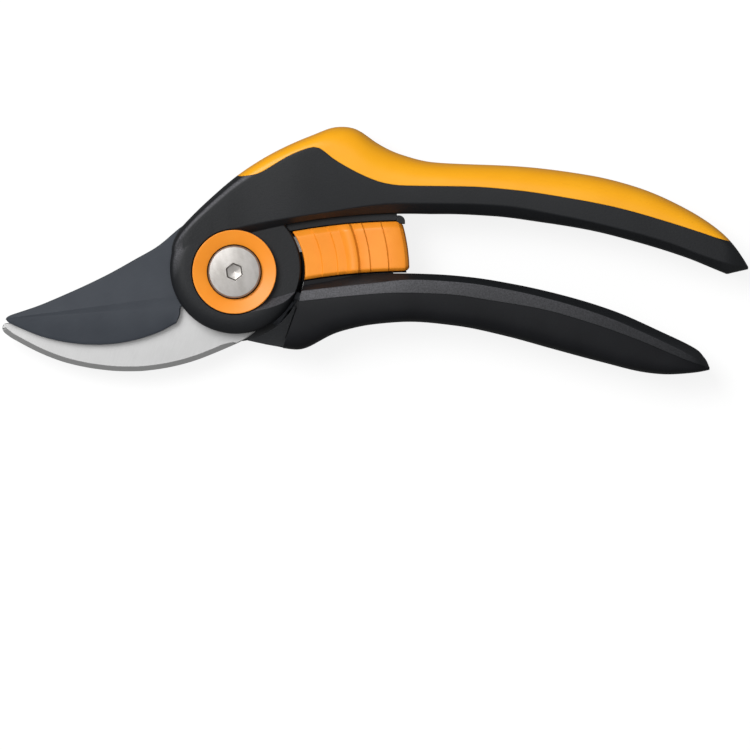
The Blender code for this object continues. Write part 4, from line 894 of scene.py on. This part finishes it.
def web():
    """The slider's black middle web, which stands out a little all round the orange shell."""
    low, high = SLIDER_BOTTOM - WEB_DROP, SLIDER_TOP + WEB_RIM
    heel, nose, tail = crossing(WEB_NOSE, low), crossing(WEB_NOSE, high), crossing(WEB_TAIL, high)
    outline = arc((0, 0), WEB_NOSE, angle_of(heel), angle_of(nose), ARC_PIECES)
    outline += arc(RAIL_CENTRE, high, rail_angle(nose), rail_angle(tail), ARC_PIECES)
    outline += arc(RAIL_CENTRE, low, rail_angle(crossing(WEB_TAIL, low)), rail_angle(heel), ARC_PIECES)
    return plate(distinct(outline), MID - WEB_HALF, MID + WEB_HALF)


def nub():
    """The slider's tail stop, rounded towards the tail."""
    top, foot = UNDERSIDE - 2 * GAP, SLIDER_TOP - NUB_FOOT
    end = NUB_ANGLE - math.degrees(NUB_LENGTH / SLIDER_TOP)
    outline = arc(RAIL_CENTRE, foot, NUB_ANGLE, end, 2)
    reach = top - SLIDER_TOP
    for i in range(NUB_PIECES + 1):
        t = math.pi / 2 * i / NUB_PIECES
        turn = end + math.degrees(NUB_LENGTH / SLIDER_TOP) * NUB_ROUND * (1 - math.cos(t))
        outline += arc(RAIL_CENTRE, SLIDER_TOP + reach * math.sin(t), turn, turn, 1)[:1]
    outline += arc(RAIL_CENTRE, top, NUB_ANGLE, NUB_ANGLE, 1)[:1]
    return plate(distinct(outline), MID - GUIDE_HALF, MID + GUIDE_HALF)


def bumper():
    """The rubber strip on the lower handle under the slider."""
    top = SLIDER_BOTTOM - BUMPER_DROP
    start = rail_angle(crossing(GAP_RADIUS, top - BUMPER_THICKNESS))
    strip = rail_band(top - BUMPER_THICKNESS, top, start, BUMPER_END, GUIDE_HALF)
    return worked(strip, ("DIFFERENCE", drum(GAP_RADIUS, 0, 2 * MID)))


# Both black finishes carry a painted sheen: BLACK near the head, BAND_BLACK along the lower handle's band.
BLACK = moulded_black("moulded black", 20 * MM, 32 * MM)
BAND_BLACK = moulded_black("band black with painted sheen", 45 * MM, 150 * MM)
BLADE_COAT = coated_slate("coated slate")
BRIGHT = ground_steel("ground steel", math.radians(70))
BOLT_STEEL = turned_steel("tumbled steel", (0.34, 0.32, 0.3), (0.5, 0.48, 0.46))
ORANGE = orange_plastic("satin orange")
YELLOW_GRIP = soft_grip("soft yellow", (0.97, 0.41, 0.002), (1.0, 0.44, 0.004), 0.38, 0.4)
BLACK_GRIP = soft_grip("soft black", (0.006, 0.0064, 0.0078), (0.009, 0.0096, 0.0115), 0.5, 0.15)
BRONZE = turned_steel("turned bronze", (0.45, 0.3, 0.14), (0.62, 0.44, 0.22))

show(upper_core(), "upper_core", "upper", "upper_handle", BLACK)
show(upper_grip(), "upper_soft_grip", "upper", "upper_grip", YELLOW_GRIP)
show(lower_core(), "lower_core", "lower", "lower_handle", BAND_BLACK, 45)
show(lower_grip(), "lower_soft_grip", "lower", "lower_grip", BLACK_GRIP)
show(blade(), "blade_plate", "lower", "cutting_blade", BLADE_COAT, 20)
show(hook(), "hook_plate", "upper", "hook", BRIGHT, 20)
show(cover_ring(RING_LOW, RING_HIGH, 1), "front_cover_ring", "upper", "front_ring", ORANGE)
show(cover_ring(REAR_RING_LOW, REAR_RING_HIGH, -1), "rear_cover_ring", "upper", "rear_ring",
     ORANGE)
show(bolt(), "bolt_with_socket", "upper", "pivot_bolt", BOLT_STEEL, 30)
show(nut(), "sleeve_nut", "upper", "pivot_nut", BOLT_STEEL, 30)
show(thumb_slider(), "thumb_slider", "slider", "slider_button", ORANGE, 22)
show(web(), "slider_web", "slider", "slider_carriage", BLACK)
show(guide_strip(), "guide_strip", "upper", "slider_guide", BLACK)
show(nub(), "slider_nub", "slider", "slider_stop", BLACK)
show(bumper(), "bumper_strip", "lower", "closing_bumper", BLACK_GRIP)

KEPT = {BRONZE: ("pivot_bush",),
        BOLT_STEEL: ("hook_pin_near", "hook_pin_far", "blade_pin_near", "blade_pin_far", "spring_washer",
                     "return_spring", "guide_screw_front", "guide_screw_rear", "detent_spring",
                     "lock_tongue")}
for finish, names in KEPT.items():
    for name in names:
        node = frame["nodes"][name]
        node.data.materials.clear()
        node.data.materials.append(finish)

# Stage: a white floor, a key light from the upper left and a broad soft light overhead
FRAME_CENTRE = Vector((39.34 * MM, -28.84 * MM, 0))
FRAME_WIDTH = 210 * MM
PICTURE_LEVEL = 15 * MM
LENS = 400
SENSOR = 36
KEY_WATTS, KEY_SIZE, KEY_PLACE = 21.0, 0.9, Vector((-0.7, 0.6, 1.4))
FILL_WATTS, FILL_SIZE, FILL_HEIGHT = 6.5, 2.0, 3.2
WORLD_LEVEL = 0.35
FLOOR_SHADE, FLOOR_GLOW = 0.2, 0.84
FLOOR_HALF, FLOOR_DROP = 3.0, 0.2 * MM


def aimed_lamp(name, place, size, watts):
    """A square soft light that faces the middle of the picture."""
    light = bpy.data.lights.new(name, "AREA")
    light.size, light.energy = size, watts
    lamp = bpy.data.objects.new(name, light)
    lamp.location = FRAME_CENTRE + place
    lamp.rotation_euler = (-place).to_track_quat("-Z", "Y").to_euler()
    bpy.context.scene.collection.objects.link(lamp)


def floor():
    """A sheet under the tool whose glow only the camera sees, so it looks white and lights nothing."""
    shape = bmesh.new()
    bmesh.ops.create_grid(shape, x_segments=1, y_segments=1, size=FLOOR_HALF)
    bmesh.ops.translate(shape, verts=shape.verts, vec=(0, 0, -FLOOR_DROP))
    sheet = as_object(shape, "floor")
    material = bpy.data.materials.new("white floor")
    material.use_nodes = True
    start = Shade(material.node_tree)
    shader = material.node_tree.nodes["Principled BSDF"]
    shader.inputs["Base Color"].default_value = (FLOOR_SHADE, FLOOR_SHADE, FLOOR_SHADE, 1)
    shader.inputs["Roughness"].default_value = 0.9
    shader.inputs["Specular IOR Level"].default_value = 0.0
    shader.inputs["Emission Strength"].default_value = FLOOR_GLOW
    seen = start.node("ShaderNodeLightPath", out="Is Camera Ray")
    start.feed(shader.inputs["Emission Color"], seen.blend((0, 0, 0), (1, 1, 1)))
    sheet.data.materials.append(material)


def studio():
    """Camera straight above, the lamps and the world."""
    scene = bpy.context.scene
    scene.view_settings.view_transform = "Standard"
    camera = bpy.data.cameras.new("camera")
    camera.lens, camera.sensor_width = LENS, SENSOR
    camera.clip_end = 20
    view = bpy.data.objects.new("camera", camera)
    view.location = FRAME_CENTRE + Vector((0, 0, PICTURE_LEVEL + FRAME_WIDTH * LENS / SENSOR))
    scene.collection.objects.link(view)
    scene.camera = view
    aimed_lamp("key", KEY_PLACE, KEY_SIZE, KEY_WATTS)
    aimed_lamp("overhead", Vector((0, 0, FILL_HEIGHT)), FILL_SIZE, FILL_WATTS)
    world = bpy.data.worlds.new("studio")
    scene.world = world
    world.use_nodes = True
    world.node_tree.nodes["Background"].inputs["Strength"].default_value = WORLD_LEVEL
    world.node_tree.nodes["Background"].inputs["Color"].default_value = (1, 1, 1, 1)


floor()
studio()
